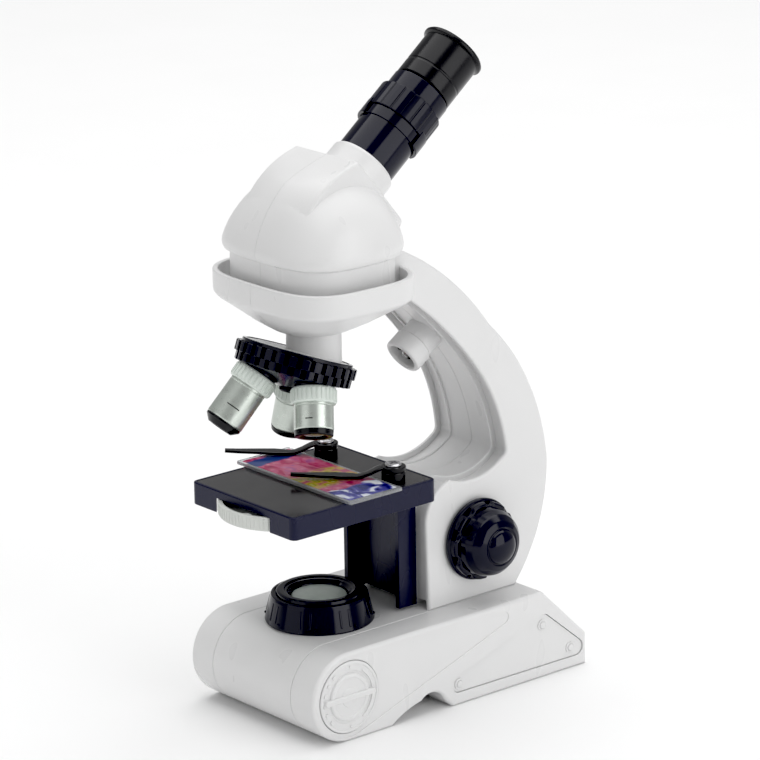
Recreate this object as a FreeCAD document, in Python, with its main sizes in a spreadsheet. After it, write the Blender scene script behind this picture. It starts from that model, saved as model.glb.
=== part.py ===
import FreeCAD, Part
import math
import os
import re
import Sketcher
from FreeCAD import Placement, Rotation, Vector

os.makedirs("parts", exist_ok=True)
doc = FreeCAD.newDocument("kids_microscope")

# ---------------------------------------------------------------- driving dimensions (mm, degrees)
# The origin lies on the desk under the optical axis; +Y leads back to the arm and +X to the right.
SIZES = {
    "skin": 2.2,               # wall of the white mouldings
    # base
    "base_top": 30.0,
    "base_half": 31.5,         # half of the base's width
    "core_half": 20.0,         # half of the centre shell between the two side rails
    "nose_y": -14.0,           # centre of the rounded front
    "nose_radius": 15.0,
    "slope_y": 69.5,           # where the top starts to fall to the back
    "back_y": 89.0,
    "back_top": 11.0,
    "dial_radius": 12.0,
    "spindle_radius": 3.0,
    "boss_radius": 3.0,
    "screw_hole": 1.22,        # radius of the holes for the base's screws
    # two AA cells
    "cell_radius": 7.1,
    "cell_length": 48.2,
    "cell_front": 26.0,
    "cell_x": 7.5,
    "cell_z": 10.4,
    "nub": 1.4,
    "contact_front": 20.7,     # inner faces of the two contact plates
    "contact_rear": 79.5,
    # lamp in the base
    "ring_radius": 17.9,
    "ring_rise": 10.2,
    "lens_radius": 9.0,
    # arm
    "arm_half_low": 20.0,      # half of the arm's width at the base
    "arm_half_high": 15.4,     # and at its upper end
    "arm_front": 30.0,
    "spot_y": 48.2,            # back end of the spot lamp, inside the arm
    "spot_z": 118.2,
    "spot_fall": 33.5,         # below the horizontal
    "shaft_y": 50.8,
    "shaft_z": 50.3,
    "shaft_radius": 2.4,
    # focus drive
    "pitch_radius": 4.0,
    "rack_teeth_count": 10,
    "knob_radius": 13.6,
    # stage
    "stage_half": 26.0,
    "stage_front": -30.9,
    "stage_rear": 28.4,
    "stage_top": 77.3,
    "stage_depth": 7.6,
    "stage_wall": 1.8,
    "stage_roof": 2.5,
    "carriage_half": 14.0,
    "wheel_x": 0.5,
    "wheel_y": -15.0,
    "wheel_low": 69.8,
    "wheel_radius": 20.5,
    "post_middle": 1.5,        # the two clip posts stand a little to the right
    "post_spread": 17.0,
    "post_y": 16.6,
    "post_rise": 5.3,
    "clip_reach": 33.0,
    "clip_turn": 140.0,        # from straight back, towards the front left
    # head
    "cup_half": 30.8,
    "cup_depth": 25.2,         # half of the cup along the arm
    "cup_low": 138.6,
    "cup_top": 147.0,
    "cup_floor": 141.0,
    "neck_radius": 8.9,
    "bore_radius": 4.2,
    "dome_half": 28.9,
    "dome_depth": 23.6,
    "dome_low": 153.0,
    "dome_rise": 27.6,
    "dome_lean": 2.9,          # how far its top sits behind the middle of its foot
    "ridge_half": 15.6,
    "parting": 0.001,          # the halves' parting plane keeps clear of the outlines' own vertices
    # eyepiece
    "bend_z": 160.0,           # where the eyepiece's axis meets the optical axis
    "eyepiece_tilt": 51.0,     # from the vertical, towards the arm
    "tube_radius": 10.2,
    "tube_bore": 8.6,
    "draw_bore": 7.4,          # radius inside the draw tube
    "collar_radius": 11.2,
    # nosepiece
    "apex_z": 138.5,           # where the objectives' axes meet on the optical axis
    "turret_tilt": 21.1,
    "turret_phase": 4.8,
    "turret_radius": 18.2,
    "turret_teeth": 30,
    "seat": 30.0,              # from the apex to the objectives' collars
    "objective_radius": 6.3,
    "objective_bore": 4.4,
}

sheet = doc.addObject("Spreadsheet::Sheet", "Sizes")
for row, (alias, number) in enumerate(SIZES.items(), start=1):
    sheet.set(f"A{row}", alias)
    sheet.set(f"B{row}", str(number))
    sheet.setAlias(f"B{row}", alias)
doc.recompute()

ALONG_X = Rotation(Vector(0, 1, 0), 90)     # local Z lies along +X
ALONG_Y = Rotation(Vector(1, 0, 0), -90)    # local Z lies along +Y
nodes = []                                  # finished sub-parts, in building order


# ---------------------------------------------------------------- helpers
def formula(text):
    """An expression for the document: each alias gets the sheet's name in front."""
    return re.sub(r"[a-z_]+", lambda m: "Sizes." + m[0] if m[0] in SIZES else m[0], str(text))


def val(text):
    """The expression's value now."""
    return float(sheet.evalExpression(formula(text)))


def bind(obj, **sizes):
    for prop, text in sizes.items():
        obj.setExpression(prop, formula(text))
    return obj


def put(obj, x="0", y="0", z="0", turn=None):
    """Place an object at bound coordinates of its own frame."""
    obj.Placement = Placement(Vector(val(x), val(y), val(z)), turn or Rotation())
    for axis, text in zip("xyz", (x, y, z)):
        obj.setExpression("Placement.Base." + axis, formula(text))
    return obj


def finish(obj, x="0", y="0", z="0", turn=None):
    """Place a finished sub-part and list it."""
    put(obj, x, y, z, turn)
    obj.Label = obj.Name
    nodes.append(obj)
    return obj


def box(name, x0, x1, y0, y1, z0, z1):
    obj = doc.addObject("Part::Box", name)
    bind(obj, Length=f"({x1}) - ({x0})", Width=f"({y1}) - ({y0})", Height=f"({z1}) - ({z0})")
    return put(obj, x0, y0, z0)


def rod(name, radius, length, x="0", y="0", z="0", turn=None):
    obj = doc.addObject("Part::Cylinder", name)
    bind(obj, Radius=radius, Height=length)
    return put(obj, x, y, z, turn)


def fuse(name, shapes):
    obj = doc.addObject("Part::MultiFuse", name)
    obj.Shapes = shapes
    obj.Refine = True
    return obj


def cut(name, base, tools):
    obj = doc.addObject("Part::Cut", name)
    obj.Base = base
    obj.Tool = tools[0] if len(tools) == 1 else fuse(name + "_tools", tools)
    return obj


def made(name, shape):
    obj = doc.addObject("Part::Feature", name)
    obj.Shape = shape
    return obj


def slab(name, x0, x1, y0, y1, z0, z1, radius):
    """A box with rounded upright edges."""
    parts = [box(name + "_long", f"{x0} + {radius}", f"{x1} - {radius}", y0, y1, z0, z1),
             box(name + "_wide", x0, x1, f"{y0} + {radius}", f"{y1} - {radius}", z0, z1)]
    corners = [(x, y) for x in (f"{x0} + {radius}", f"{x1} - {radius}")
               for y in (f"{y0} + {radius}", f"{y1} - {radius}")]
    for count, (x, y) in enumerate(corners):
        parts.append(rod(f"{name}_corner_{count}", radius, f"({z1}) - ({z0})", x, y, z0))
    return fuse(name, parts)


def sketch(body, role, outline):
    """A closed sketch on an origin plane: every corner is bound to the sheet.

    A corner is (across, up), or (across, up, via_across, via_up) when an arc
    leads to it from the corner before. An arc that meets the axis is centred
    on it, so that a turned dome is part of a sphere."""
    sk = body.newObject("Sketcher::SketchObject", body.Name + "_sketch")
    plane = next(f for f in body.Origin.OriginFeatures if f.Role == role)
    sk.AttachmentSupport = [(plane, "")]
    sk.MapMode = "FlatFace"
    corners = [Vector(val(c[0]), val(c[1]), 0) for c in outline]
    for i, corner in enumerate(outline):
        start, end = corners[i - 1], corners[i]
        if len(corner) == 4:
            via = Vector(val(corner[2]), val(corner[3]), 0)
            clockwise = (via - start).cross(end - via).z < 0
            sk.addGeometry(Part.Arc(end, via, start) if clockwise else Part.Arc(start, via, end), False)
        else:
            sk.addGeometry(Part.LineSegment(start, end), False)
    last = len(outline) - 1
    for i, corner in enumerate(outline):
        after = 0 if i == last else i + 1
        end_here = end_of(sk, i, corners[i])
        start_next = end_of(sk, after, corners[i])
        sk.addConstraint(Sketcher.Constraint("Coincident", i, end_here, after, start_next))
        for kind, text, number in (("DistanceX", corner[0], corners[i].x),
                                   ("DistanceY", corner[1], corners[i].y)):
            index = sk.addConstraint(Sketcher.Constraint(kind, -1, 1, i, end_here, number))
            sk.setExpression(f"Constraints[{index}]", formula(text))
        if len(corner) == 4 and min(corners[i].x, corners[i - 1].x) == 0:
            sk.addConstraint(Sketcher.Constraint("PointOnObject", i, 3, -2))
        elif len(corner) == 4:
            sk.addConstraint(Sketcher.Constraint("Radius", i, sk.Geometry[i].Radius))
    return sk


def end_of(sk, index, point):
    """Which end (1 or 2) of a sketch edge lies at the point."""
    edge = sk.Geometry[index]
    return 1 if edge.StartPoint.distanceToPoint(point) < 1e-6 else 2


def dome_top(radius, low, rise):
    """The last corner of a turned outline: a spherical cap up to the axis."""
    edge = val(radius)
    ball = (edge * edge + rise * rise) / (2 * rise)
    half_angle = math.atan2(edge, ball - rise) / 2
    via = low + rise - ball + ball * math.cos(half_angle)
    return ("0", str(low + rise), str(ball * math.sin(half_angle)), str(via))


def turned(name, outline):
    """A body turned about its own Z axis from (radius, height) corners."""
    body = doc.addObject("PartDesign::Body", name)
    profile = sketch(body, "XZ_Plane", outline)
    turn = body.newObject("PartDesign::Revolution", name + "_turn")
    turn.Profile = profile
    turn.ReferenceAxis = (profile, ["V_Axis"])
    turn.Angle = 360
    return body


def padded(name, role, outline, length, offset="0"):
    """A body padded from an outline on an origin plane, starting at the offset."""
    body = doc.addObject("PartDesign::Body", name)
    profile = sketch(body, role, outline)
    pad = body.newObject("PartDesign::Pad", name + "_pad")
    pad.Profile = profile
    bind(pad, Length=length)
    profile.setExpression("AttachmentOffset.Base.z", formula(offset))
    return body


def face_of(outline):
    """A flat face in the YZ plane from corners, with arcs as in sketch()."""
    corners = [Vector(0, val(c[0]), val(c[1])) for c in outline]
    edges = []
    for i, corner in enumerate(outline):
        if len(corner) == 4:
            via = Vector(0, val(corner[2]), val(corner[3]))
            edges.append(Part.Arc(corners[i - 1], via, corners[i]).toShape())
        else:
            edges.append(Part.LineSegment(corners[i - 1], corners[i]).toShape())
    return Part.Face(Part.Wire(edges))


def swept(face, x0, x1):
    """The face's prism from x0 to x1."""
    moved = face.translated(Vector(x0, 0, 0))
    return moved.extrude(Vector(x1 - x0, 0, 0))


def rounded(centres, radius):
    """A face in the YZ plane with a round corner about each centre."""
    return face_of(centres).makeOffset2D(radius, 0)


def toothed(count, root, tip, height, share=0.5, phase=0.0):
    """An upright prism with square-cut teeth or ribs round it."""
    points = []
    for tooth in range(count):
        middle = 2 * math.pi * tooth / count + math.radians(phase)
        half = math.pi * share / count
        step = math.pi / count
        for radius, angle in ((root, middle - step), (root, middle - half), (tip, middle - half * 0.8),
                              (tip, middle + half * 0.8), (root, middle + half)):
            points.append(Vector(radius * math.cos(angle), radius * math.sin(angle), 0))
    points.append(points[0])
    return Part.Face(Part.makePolygon(points)).extrude(Vector(0, 0, height))


def squircle(half_x, half_y, z, power=4.0, count=32):
    """A closed smooth outline between an ellipse and a rectangle."""
    points = []
    for step in range(count):
        angle = 2 * math.pi * step / count
        c, s = math.cos(angle), math.sin(angle)
        reach = (abs(c / half_x) ** power + abs(s / half_y) ** power) ** (-1 / power)
        points.append(Vector(reach * c, reach * s, z))
    curve = Part.BSplineCurve()
    curve.interpolate(Points=points, PeriodicFlag=True)
    return Part.Wire(curve.toShape())


def squircle_prism(half_x, half_y, low, high):
    return Part.Face(squircle(half_x, half_y, low)).extrude(Vector(0, 0, high - low))


def half_space(side):
    """Everything on one side of the middle plane: side is +1 (right) or -1 (left)."""
    big = 400
    return Part.makeBox(big, big, big, Vector(0 if side > 0 else -big, -big / 2, 0))


# ---------------------------------------------------------------- outlines seen from the side (y, z)
BASE_OUTLINE = [
    ("nose_y", "0"),
    ("nose_y", "base_top", "nose_y - nose_radius", "nose_radius"),
    ("slope_y", "base_top"),
    ("back_y", "back_top"),
    ("back_y", "0"),
]
RAIL_OUTLINE = BASE_OUTLINE + [
    ("29.8", "0"),
    ("26.5", "3.2"),
    ("16.5", "5.2", "22", "6.9"),
    ("4", "0", "11.6", "3.9"),
]
TRIANGLE = [("32.6", "7.2"), ("69.6", "19.2"), ("84.4", "6.8")]      # centres of its rounded corners
TRIANGLE_SCREWS = [(32.6, 7.2), (69.2, 18.4), (81.8, 7.4)]
ARM_OUTLINE = [
    ("arm_front", "base_top"),
    ("arm_front", "60"),
    ("41", "72", "34.2", "68.6"),
    ("64", "74.6", "52.8", "70.2"),
    ("65.6", "77.6", "65.3", "75.7"),
    ("54.5", "106.6", "61.4", "93.8"),
    ("26", "135.5", "42.6", "120.9"),
    ("16", "138.6"),
    ("16", "150"),
    ("22", "152.9"),
    ("60.3", "120.5"),
    ("83.7", "70.5", "77.4", "96.2"),
    ("67.6", "base_top", "80.4", "51.8"),
]
RIDGE_OUTLINE = [
    ("-14", "156"),
    ("-16.2", "166"),
    ("-13.3", "170.6"),
    ("6.9", "183.6", "-3.6", "179.3"),
    ("24.8", "161.5"),
    ("20", "156"),
]


FLOOR_SCREWS = [(x, y) for x in (-14, 14) for y in (-7, 14)]
DOOR_SCREW = (0, 25.5)
SEAT_DEPTH = 1.3               # of the dials and covers in the rails


# ---------------------------------------------------------------- base
def base_shell():
    """Centre shell: open below, with a lamp hole, spindle holes and a wire hole."""
    core, skin = val("core_half"), val("skin")
    outer = swept(face_of(BASE_OUTLINE), -core, core)
    inner = swept(face_of(BASE_OUTLINE).makeOffset2D(-skin, 2), skin - core, core - skin)
    mouth = Part.makeBox(2 * (core - skin), 97, 6, Vector(skin - core, -11, -1))
    shell = made("base_shell_walls", outer.cut(inner.fuse(mouth)))
    bosses, holes = [], []
    for count, (x, y) in enumerate(FLOOR_SCREWS):
        bosses.append(rod(f"floor_boss_{count}", "boss_radius", "base_top - 3.05", x, y, "2.05"))
        holes.append(rod(f"boss_hole_{count}", "screw_hole", "6", x, y, "1"))
    shell = fuse("base_shell_bosses", [shell] + bosses)
    holes += [rod("lamp_hole", "12", "8", z="base_top - 5"),
             rod("wire_hole", "3", "8", y="shaft_y", z="base_top - 5"),
             rod("spindle_holes", "spindle_radius + 0.06", "core_half * 2 + 4", "-core_half - 2", "nose_y",
                 "nose_radius", ALONG_X)]
    finish(cut("base_shell", shell, holes))


def rail(name, side):
    """Side rail: hollow towards the centre shell, with seats for the dial and the cover."""
    near, far = val("core_half"), val("base_half")
    face = face_of(RAIL_OUTLINE)
    body = swept(face, near, far)
    body = body.cut(swept(face.makeOffset2D(-2.5, 2), near - 1, far - 2.5))
    seat = Vector(far - SEAT_DEPTH, val("nose_y"), val("nose_radius"))
    inside = Vector(0, seat.y, seat.z)
    body = body.cut(Part.makeCylinder(val("dial_radius") + 0.2, 5, seat, Vector(1, 0, 0)))
    body = body.cut(Part.makeCylinder(val("spindle_radius") + 0.06, 50, inside, Vector(1, 0, 0)))
    body = body.cut(swept(rounded(TRIANGLE, 3.0), far - SEAT_DEPTH, far + 1))
    for y, z in TRIANGLE_SCREWS:
        body = body.cut(Part.makeCylinder(0.9, 6, Vector(far - 5, y, z), Vector(1, 0, 0)))
    if side < 0:
        body = body.mirror(Vector(0, 0, 0), Vector(1, 0, 0))
    finish(made(name, body))


def side_cover(name, side):
    """Three-cornered cover in the rail's side, with a boss round each screw."""
    far = val("base_half")
    plate = swept(rounded(TRIANGLE, 2.85), far - SEAT_DEPTH, far - 0.5)
    for y, z in TRIANGLE_SCREWS:
        plate = plate.fuse(Part.makeCylinder(1.9, 1.2, Vector(far - SEAT_DEPTH, y, z), Vector(1, 0, 0)))
        plate = plate.cut(Part.makeCylinder(0.9, 6, Vector(far - 3, y, z), Vector(1, 0, 0)))
    if side < 0:
        plate = plate.mirror(Vector(0, 0, 0), Vector(1, 0, 0))
    finish(made(name, plate))


def screw_shape(head_radius, head_height, shank_radius, shank_length):
    """Pan-head screw: head above z = 0, shank below, cross recess in the head."""
    screw = Part.makeCylinder(head_radius, head_height)
    screw = screw.fuse(Part.makeCylinder(shank_radius, shank_length, Vector(0, 0, -shank_length)))
    slot = head_radius * 1.2
    for turn in (0, 90):
        groove = Part.makeBox(slot, slot / 4, head_height, Vector(-slot / 2, -slot / 8, head_height * 0.55))
        screw = screw.cut(groove.rotated(Vector(0, 0, 0), Vector(0, 0, 1), turn))
    return screw


def set_screws(name, screw, seats):
    """The same screw in several seats: each is (point, direction of its head)."""
    copies = []
    for point, direction in seats:
        copy = screw.copy()
        copy.Placement = Placement(point, Rotation(Vector(0, 0, 1), direction))
        copies.append(copy)
    finish(made(name, Part.makeCompound(copies)))


def side_cover_screws():
    far = val("base_half") - 0.1
    seats = [(Vector(side * far, y, z), Vector(side, 0, 0)) for side in (1, -1) for y, z in TRIANGLE_SCREWS]
    set_screws("side_cover_screws", screw_shape(1.6, 0.6, 0.85, 4), seats)


def bottom_plate():
    """Floor of the base with the battery opening and two posts for the lamp board."""
    core = "core_half - skin - 0.1"
    floor = box("floor", f"-({core})", core, "-10.5", "85", "0", "2")
    posts = [rod(f"lamp_post_{side}", "1.8", "14.2", f"{side} * 6.5", "0", "1.8") for side in (1, -1)]
    opening = box("battery_opening", "-15.6", "15.6", "21.6", "79.6", "-1", "4")
    plate = cut("floor_with_opening", fuse("floor_with_posts", [floor] + posts), [opening])
    tongue = box("door_tongue", "-3.5", "3.5", "20.9", "27.5", "1.9", "4.2")
    holes = screw_holes("floor", FLOOR_SCREWS + [DOOR_SCREW])
    finish(cut("bottom_plate", fuse("floor_with_tongue", [plate, tongue]), holes))


def screw_holes(name, places):
    """Holes and wells for sunk screws from below."""
    holes = []
    for n, (x, y) in enumerate(places):
        holes.append(rod(f"{name}_well_{n}", "2.5", "1", x, y, "-0.02"))
        holes.append(rod(f"{name}_hole_{n}", "screw_hole", "6", x, y, "-1"))
    return holes


def battery_door():
    """Lid of the battery box with a finger dent."""
    lid = box("lid", "-15.5", "15.5", "21.7", "79.5", "0", "1.8")
    dent = rod("lid_dent", "5", "1", "0", "72", "-0.3")
    finish(cut("battery_door", lid, [dent] + screw_holes("door", [DOOR_SCREW])))


def base_screws():
    """Sunk screws of the floor and one in the battery door."""
    seats = [(Vector(x, y, 0.97), Vector(0, 0, -1)) for x, y in FLOOR_SCREWS + [DOOR_SCREW]]
    set_screws("base_screws", screw_shape(2.4, 0.9, 1.2, 3), seats)


def cell(name, side):
    """AA cell lying along the base; the two cells point opposite ways."""
    nub_start = "cell_front + cell_length" if side > 0 else "cell_front - nub"
    across = f"{side} * cell_x"
    can = rod(name + "_can", "cell_radius", "cell_length", across, "cell_front", "cell_z", ALONG_Y)
    nub = rod(name + "_nub", "2.7", "nub", across, nub_start, "cell_z", ALONG_Y)
    finish(fuse(name, [can, nub]))


def cell_contacts():
    """Two contact plates, each with a stud that meets one cell's nub."""
    reach = "cell_front - nub - contact_front - 0.02"
    rear = f"contact_rear - ({reach})"
    pieces = [box("contact_plate_front", "-14.6", "14.6", "contact_front - 0.5", "contact_front", "4", "16"),
              box("contact_plate_rear", "-14.6", "14.6", "contact_rear", "contact_rear + 0.5", "4", "16"),
              rod("contact_stud_front", "3", reach, "-cell_x", "contact_front", "cell_z", ALONG_Y),
              rod("contact_stud_rear", "3", reach, "cell_x", rear, "cell_z", ALONG_Y)]
    finish(fuse("cell_contacts", pieces))


def cell_springs():
    """Pressed cone springs between the contact plates and the cells' flat ends."""
    wire, pitch, turns = 0.58, 0.82, 6
    coils = []
    for side, plate, way in ((1, "contact_front", 1), (-1, "contact_rear", -1)):
        for turn in range(turns):
            along = val(plate) + way * (wire + 0.03 + pitch * turn)
            centre = Vector(side * val("cell_x"), along, val("cell_z"))
            coils.append(Part.makeTorus(5.0 - 0.7 * turn, wire, centre, Vector(0, 1, 0)))
    finish(made("cell_springs", coils[0].multiFuse(coils[1:])))


def dial(name, side):
    """Selector dial: outer rim, inner disc and a grip bar across it."""
    parts = [rod(name + "_rim", "dial_radius", "1.2"),
             rod(name + "_disc", "dial_radius * 0.63", "1.6"),
             box(name + "_bar", "-1.1", "1.1", "-dial_radius * 0.86", "dial_radius * 0.86", "1", "2.3")]
    ring = rod(name + "_ring", "dial_radius - 1", "0.5", z="0.9")
    core = rod(name + "_core", "dial_radius * 0.7", "0.5", z="0.9")
    groove = cut(name + "_groove", ring, [core])
    body = cut(name, fuse(name + "_solid", [cut(name + "_plate", parts[0], [groove])] + parts[1:]),
               [rod(name + "_socket", "1.5", "1.0", z="0")])
    turn = ALONG_X if side > 0 else Rotation(Vector(0, 1, 0), -90)
    finish(body, f"{side} * (base_half - 1.25)", "nose_y", "nose_radius", turn)


def dial_spindle():
    """Shaft between the two dials with a flat cam that works the lamp switch."""
    shaft = rod("spindle_shaft", "spindle_radius", "(base_half - 1.25) * 2", "1.25 - base_half",
                turn=ALONG_X)
    ends = [rod(f"spindle_end_{side}", "1.45", "0.9", f"{side} * (base_half - 0.8) - 0.45", turn=ALONG_X)
            for side in (1, -1)]
    cam = box("spindle_cam", "-3", "3", "-1.5", "1.5", "0", "5.5")
    finish(fuse("dial_spindle", [shaft, cam] + ends), "0", "nose_y", "nose_radius")


def illuminator():
    """Twist-off cone over the lamp with its frosted lens."""
    ring = turned("illuminator_cone", [
        ("11.6", "-2.2"), ("11.6", "0"), ("ring_radius", "0"), ("ring_radius", "0.9"), ("15.9", "8.2"),
        ("14.8", "9", "15.6", "8.8"), ("13.3", "9"), ("12.9", "9.8"), ("12.2", "ring_rise", "12.7", "10.1"),
        ("10.9", "ring_rise"), ("lens_radius + 0.1", "8.8"), ("lens_radius + 0.1", "7"), ("8", "7"),
        ("8", "2"), ("9.8", "-2.2")])
    rib = Part.makeCylinder(0.75, 7.6, Vector(16.9, 0, 0.6), Vector(-1.85, 0, 7.4))
    ribs = [rib.rotated(Vector(0, 0, 0), Vector(0, 0, 1), angle) for angle in range(15, 375, 60)]
    grips = made("illuminator_ribs", ribs[0].multiFuse(ribs[1:]))
    finish(fuse("illuminator_ring", [ring, grips]), z="base_top")
    lens = turned("illuminator_lens", [("0", "7"), ("lens_radius", "7"), ("lens_radius", "8.2"),
                                       dome_top("lens_radius", 8.2, 0.8)])
    finish(lens, z="base_top")


def lamp():
    """Lamp board on its two posts, and the lamp itself."""
    finish(box("lamp_board", "-9", "9", "-6", "6", "0", "1.4"), "-9", "-6", "16")
    bulb = turned("lamp_led", [("0", "0"), ("2.9", "0"), ("2.9", "1"), ("2.5", "1"), ("2.5", "4.6"),
                               dome_top("2.5", 4.6, 2.4)])
    finish(bulb, z="17.4")


# ---------------------------------------------------------------- arm, cup and neck
def wedge(low_half, high_half, side):
    """Half of the arm's tapering width, from the base up."""
    low, high, y0 = val("base_top"), 155.0, 0
    points = [Vector(0, y0, low), Vector(side * low_half, y0, low), Vector(side * high_half, y0, high),
              Vector(0, y0, high), Vector(0, y0, low)]
    return Part.Face(Part.makePolygon(points)).extrude(Vector(0, 100, 0))


def cup_solid():
    """Cup under the dome: rounded-square wall, sloping underside and a funnel to the neck."""
    a, b = val("cup_half"), val("cup_depth")
    low, top = val("cup_low"), val("cup_top")
    wall = squircle_prism(a, b, low, top)
    slope = Part.makeLoft([squircle(a * 0.72, b * 0.72, low - 4), squircle(a, b, low)], True)
    neck = val("neck_radius")
    funnel = Part.Face(Part.Wire([
        Part.LineSegment(Vector(0, 0, 127.4), Vector(neck, 0, 127.4)).toShape(),
        Part.Arc(Vector(neck, 0, 127.4), Vector(14.4, 0, 129.6), Vector(20.5, 0, 134)).toShape(),
        Part.LineSegment(Vector(20.5, 0, 134), Vector(20.5, 0, low)).toShape(),
        Part.LineSegment(Vector(20.5, 0, low), Vector(0, 0, low)).toShape(),
        Part.LineSegment(Vector(0, 0, low), Vector(0, 0, 127.4)).toShape(),
    ])).revolve(Vector(0, 0, 0), Vector(0, 0, 1), 360)
    return wall.fuse(slope).fuse(funnel)


def arm_half(name, side):
    """One half of the arm with its half of the cup: hollow, split on the middle plane."""
    skin = val("skin")
    low, high = val("arm_half_low"), val("arm_half_high")
    face = face_of(ARM_OUTLINE)
    outer = swept(face, -30, 30).common(wedge(low, high, side))
    inner = swept(face.makeOffset2D(-skin, 2), -30, 30).common(wedge(low - skin, high - skin, side))
    front_of_cup = Part.makeBox(80, 60, 200, Vector(-40, -60 + val("cup_depth") + 2.5, 0))
    foot = Part.makeBox(80, 28, 8, Vector(-40, val("arm_front") + skin, val("base_top") - 1))
    inner = inner.cut(front_of_cup).fuse(foot.common(wedge(low - skin, high - skin, side)))
    above_cup = squircle_prism(val("cup_half"), val("cup_depth"), val("cup_low"), 170)
    shell = outer.cut(above_cup).cut(inner).fuse(cup_solid().common(half_space(side)))
    cavity = squircle_prism(val("cup_half") - 1.9, val("cup_depth") - 1.9, val("cup_floor"), 170)
    shell = shell.cut(cavity)
    shell = shell.cut(Part.makeCylinder(val("neck_radius") + 0.05, 60, Vector(0, 0, 100)))
    shaft = Vector(-40, val("shaft_y"), val("shaft_z"))
    shell = shell.cut(Part.makeCylinder(val("shaft_radius") + 0.06, 80, shaft, Vector(1, 0, 0)))
    slot = Part.makeBox(4.6, 8, 28, Vector(-2.3, 28, 37))
    shell = shell.cut(slot)
    seat = Part.makeCylinder(6.55, 12)
    seat.Placement = Placement(Vector(0, val("spot_y"), val("spot_z")), lamp_turn())
    shell = shell.cut(seat)
    for point, outwards in arm_screw_seats():
        shell = shell.cut(Part.makeCylinder(2.0, 3, point, outwards))
        shell = shell.cut(Part.makeCylinder(1.02, 6, point + Vector(5, 0, 0), outwards))
    finish(made(name, shell.removeSplitter()))


def lamp_turn():
    """The spot lamp looks down and forward at the stage."""
    return Rotation(Vector(1, 0, 0), 90 + val("spot_fall"))


def arm_screw_seats():
    """Seats of the screws that hold the arm's halves together, sunk in the left side."""
    low, high = val("arm_half_low"), val("arm_half_high")
    seats = []
    for y, z in ((62, 38), (76, 66), (70, 96), (38, 134)):
        half = low - (z - val("base_top")) * (low - high) / 125
        seats.append((Vector(0.9 - half, y, z), Vector(-1, 0, 0)))
    return seats


def spot_lamp():
    """White lamp barrel on the arm's inner face, with its clear lamp."""
    barrel = turned("spot_lamp_housing", [
        ("2.8", "0"), ("6.5", "0"), ("6.5", "13.3"), ("5.8", "14"), ("3.9", "14"), ("3.9", "8"),
        ("2.8", "8")])
    finish(barrel, "0", "spot_y", "spot_z", lamp_turn())
    bulb = turned("spot_lamp_led", [("0", "0"), ("2.6", "0"), ("2.6", "4.6"), dome_top("2.6", 4.6, 2.5)])
    finish(bulb, "0", "spot_y - 6.4 * cos(spot_fall)", "spot_z - 6.4 * sin(spot_fall)", lamp_turn())


# ---------------------------------------------------------------- nosepiece
def turret_frame():
    """Local Z up along the turret's axis, origin at the apex."""
    return Rotation(Vector(1, 0, 0), -val("turret_tilt"))


def nosepiece_neck():
    """Tube down from the head to the slanted plate that carries the turret."""
    tube = rod("neck_tube", "neck_radius", "150.2 - 108", z="108")
    below = Part.makeBox(90, 90, 60, Vector(-45, -45, -60 - 18.9))
    below.Placement = Placement(Vector(0, 0, val("apex_z")), turret_frame())
    plate = Part.makeCylinder(16.4, 1.6, Vector(0, 0, -18.9))
    plate.Placement = below.Placement
    pivot_hole = Part.makeCylinder(1.5, 10, Vector(0, 0, -22))
    pivot_hole.Placement = below.Placement
    neck = cut("neck_cut", tube, [made("below_plate", below)])
    neck = fuse("neck_and_plate", [neck, made("turret_plate", plate)])
    finish(cut("nosepiece_neck", neck, [rod("light_path", "bore_radius", "60", z="100"),
                                        made("pivot_hole", pivot_hole)]))


def turret():
    """Turret wheel: two tiers of teeth, a cone below and a boss for each objective."""
    radius, seat, tilt = val("turret_radius"), val("seat"), val("turret_tilt")
    teeth = int(val("turret_teeth"))
    upper = toothed(teeth, radius, radius + 1.7, 3.3, 0.62).translated(Vector(0, 0, -22.5))
    lower = toothed(teeth, radius - 0.8, radius + 0.9, 3.0, 0.56, 180 / teeth)
    lower = lower.translated(Vector(0, 0, -25.4))
    cone = Part.makeCone(3.6, radius - 0.8, 5.0, Vector(0, 0, -30.4))
    wheel = upper.fuse(lower).fuse(cone)
    for turn in (0, 120, 240):
        boss = Part.makeCylinder(6.2, 6, Vector(0, 0, -seat))
        bore = Part.makeCylinder(val("bore_radius"), 30, Vector(0, 0, -seat - 1))
        lean = Rotation(Vector(0, 0, 1), turn) * Rotation(Vector(0, 1, 0), -tilt)
        boss.Placement = Placement(Vector(0, 0, 0), lean)
        bore.Placement = boss.Placement
        wheel = wheel.fuse(boss).cut(bore)
    wheel = wheel.cut(Part.makeBox(60, 60, 30, Vector(-30, -30, -19.2)))
    wheel = wheel.cut(Part.makeCylinder(1.55, 40, Vector(0, 0, -40)))
    turn = turret_frame() * Rotation(Vector(0, 0, 1), val("turret_phase"))
    finish(made("turret_wheel", wheel.removeSplitter()), "0", "0", "apex_z", turn)
    screw = turned("turret_pivot", [("0", "-31.8"), ("2.9", "-31.8"), ("2.9", "-30.5"), ("1.5", "-30.5"),
                                    ("1.5", "-15.6"), ("0", "-15.6")])
    finish(screw, "0", "0", "apex_z", turret_frame())


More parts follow.
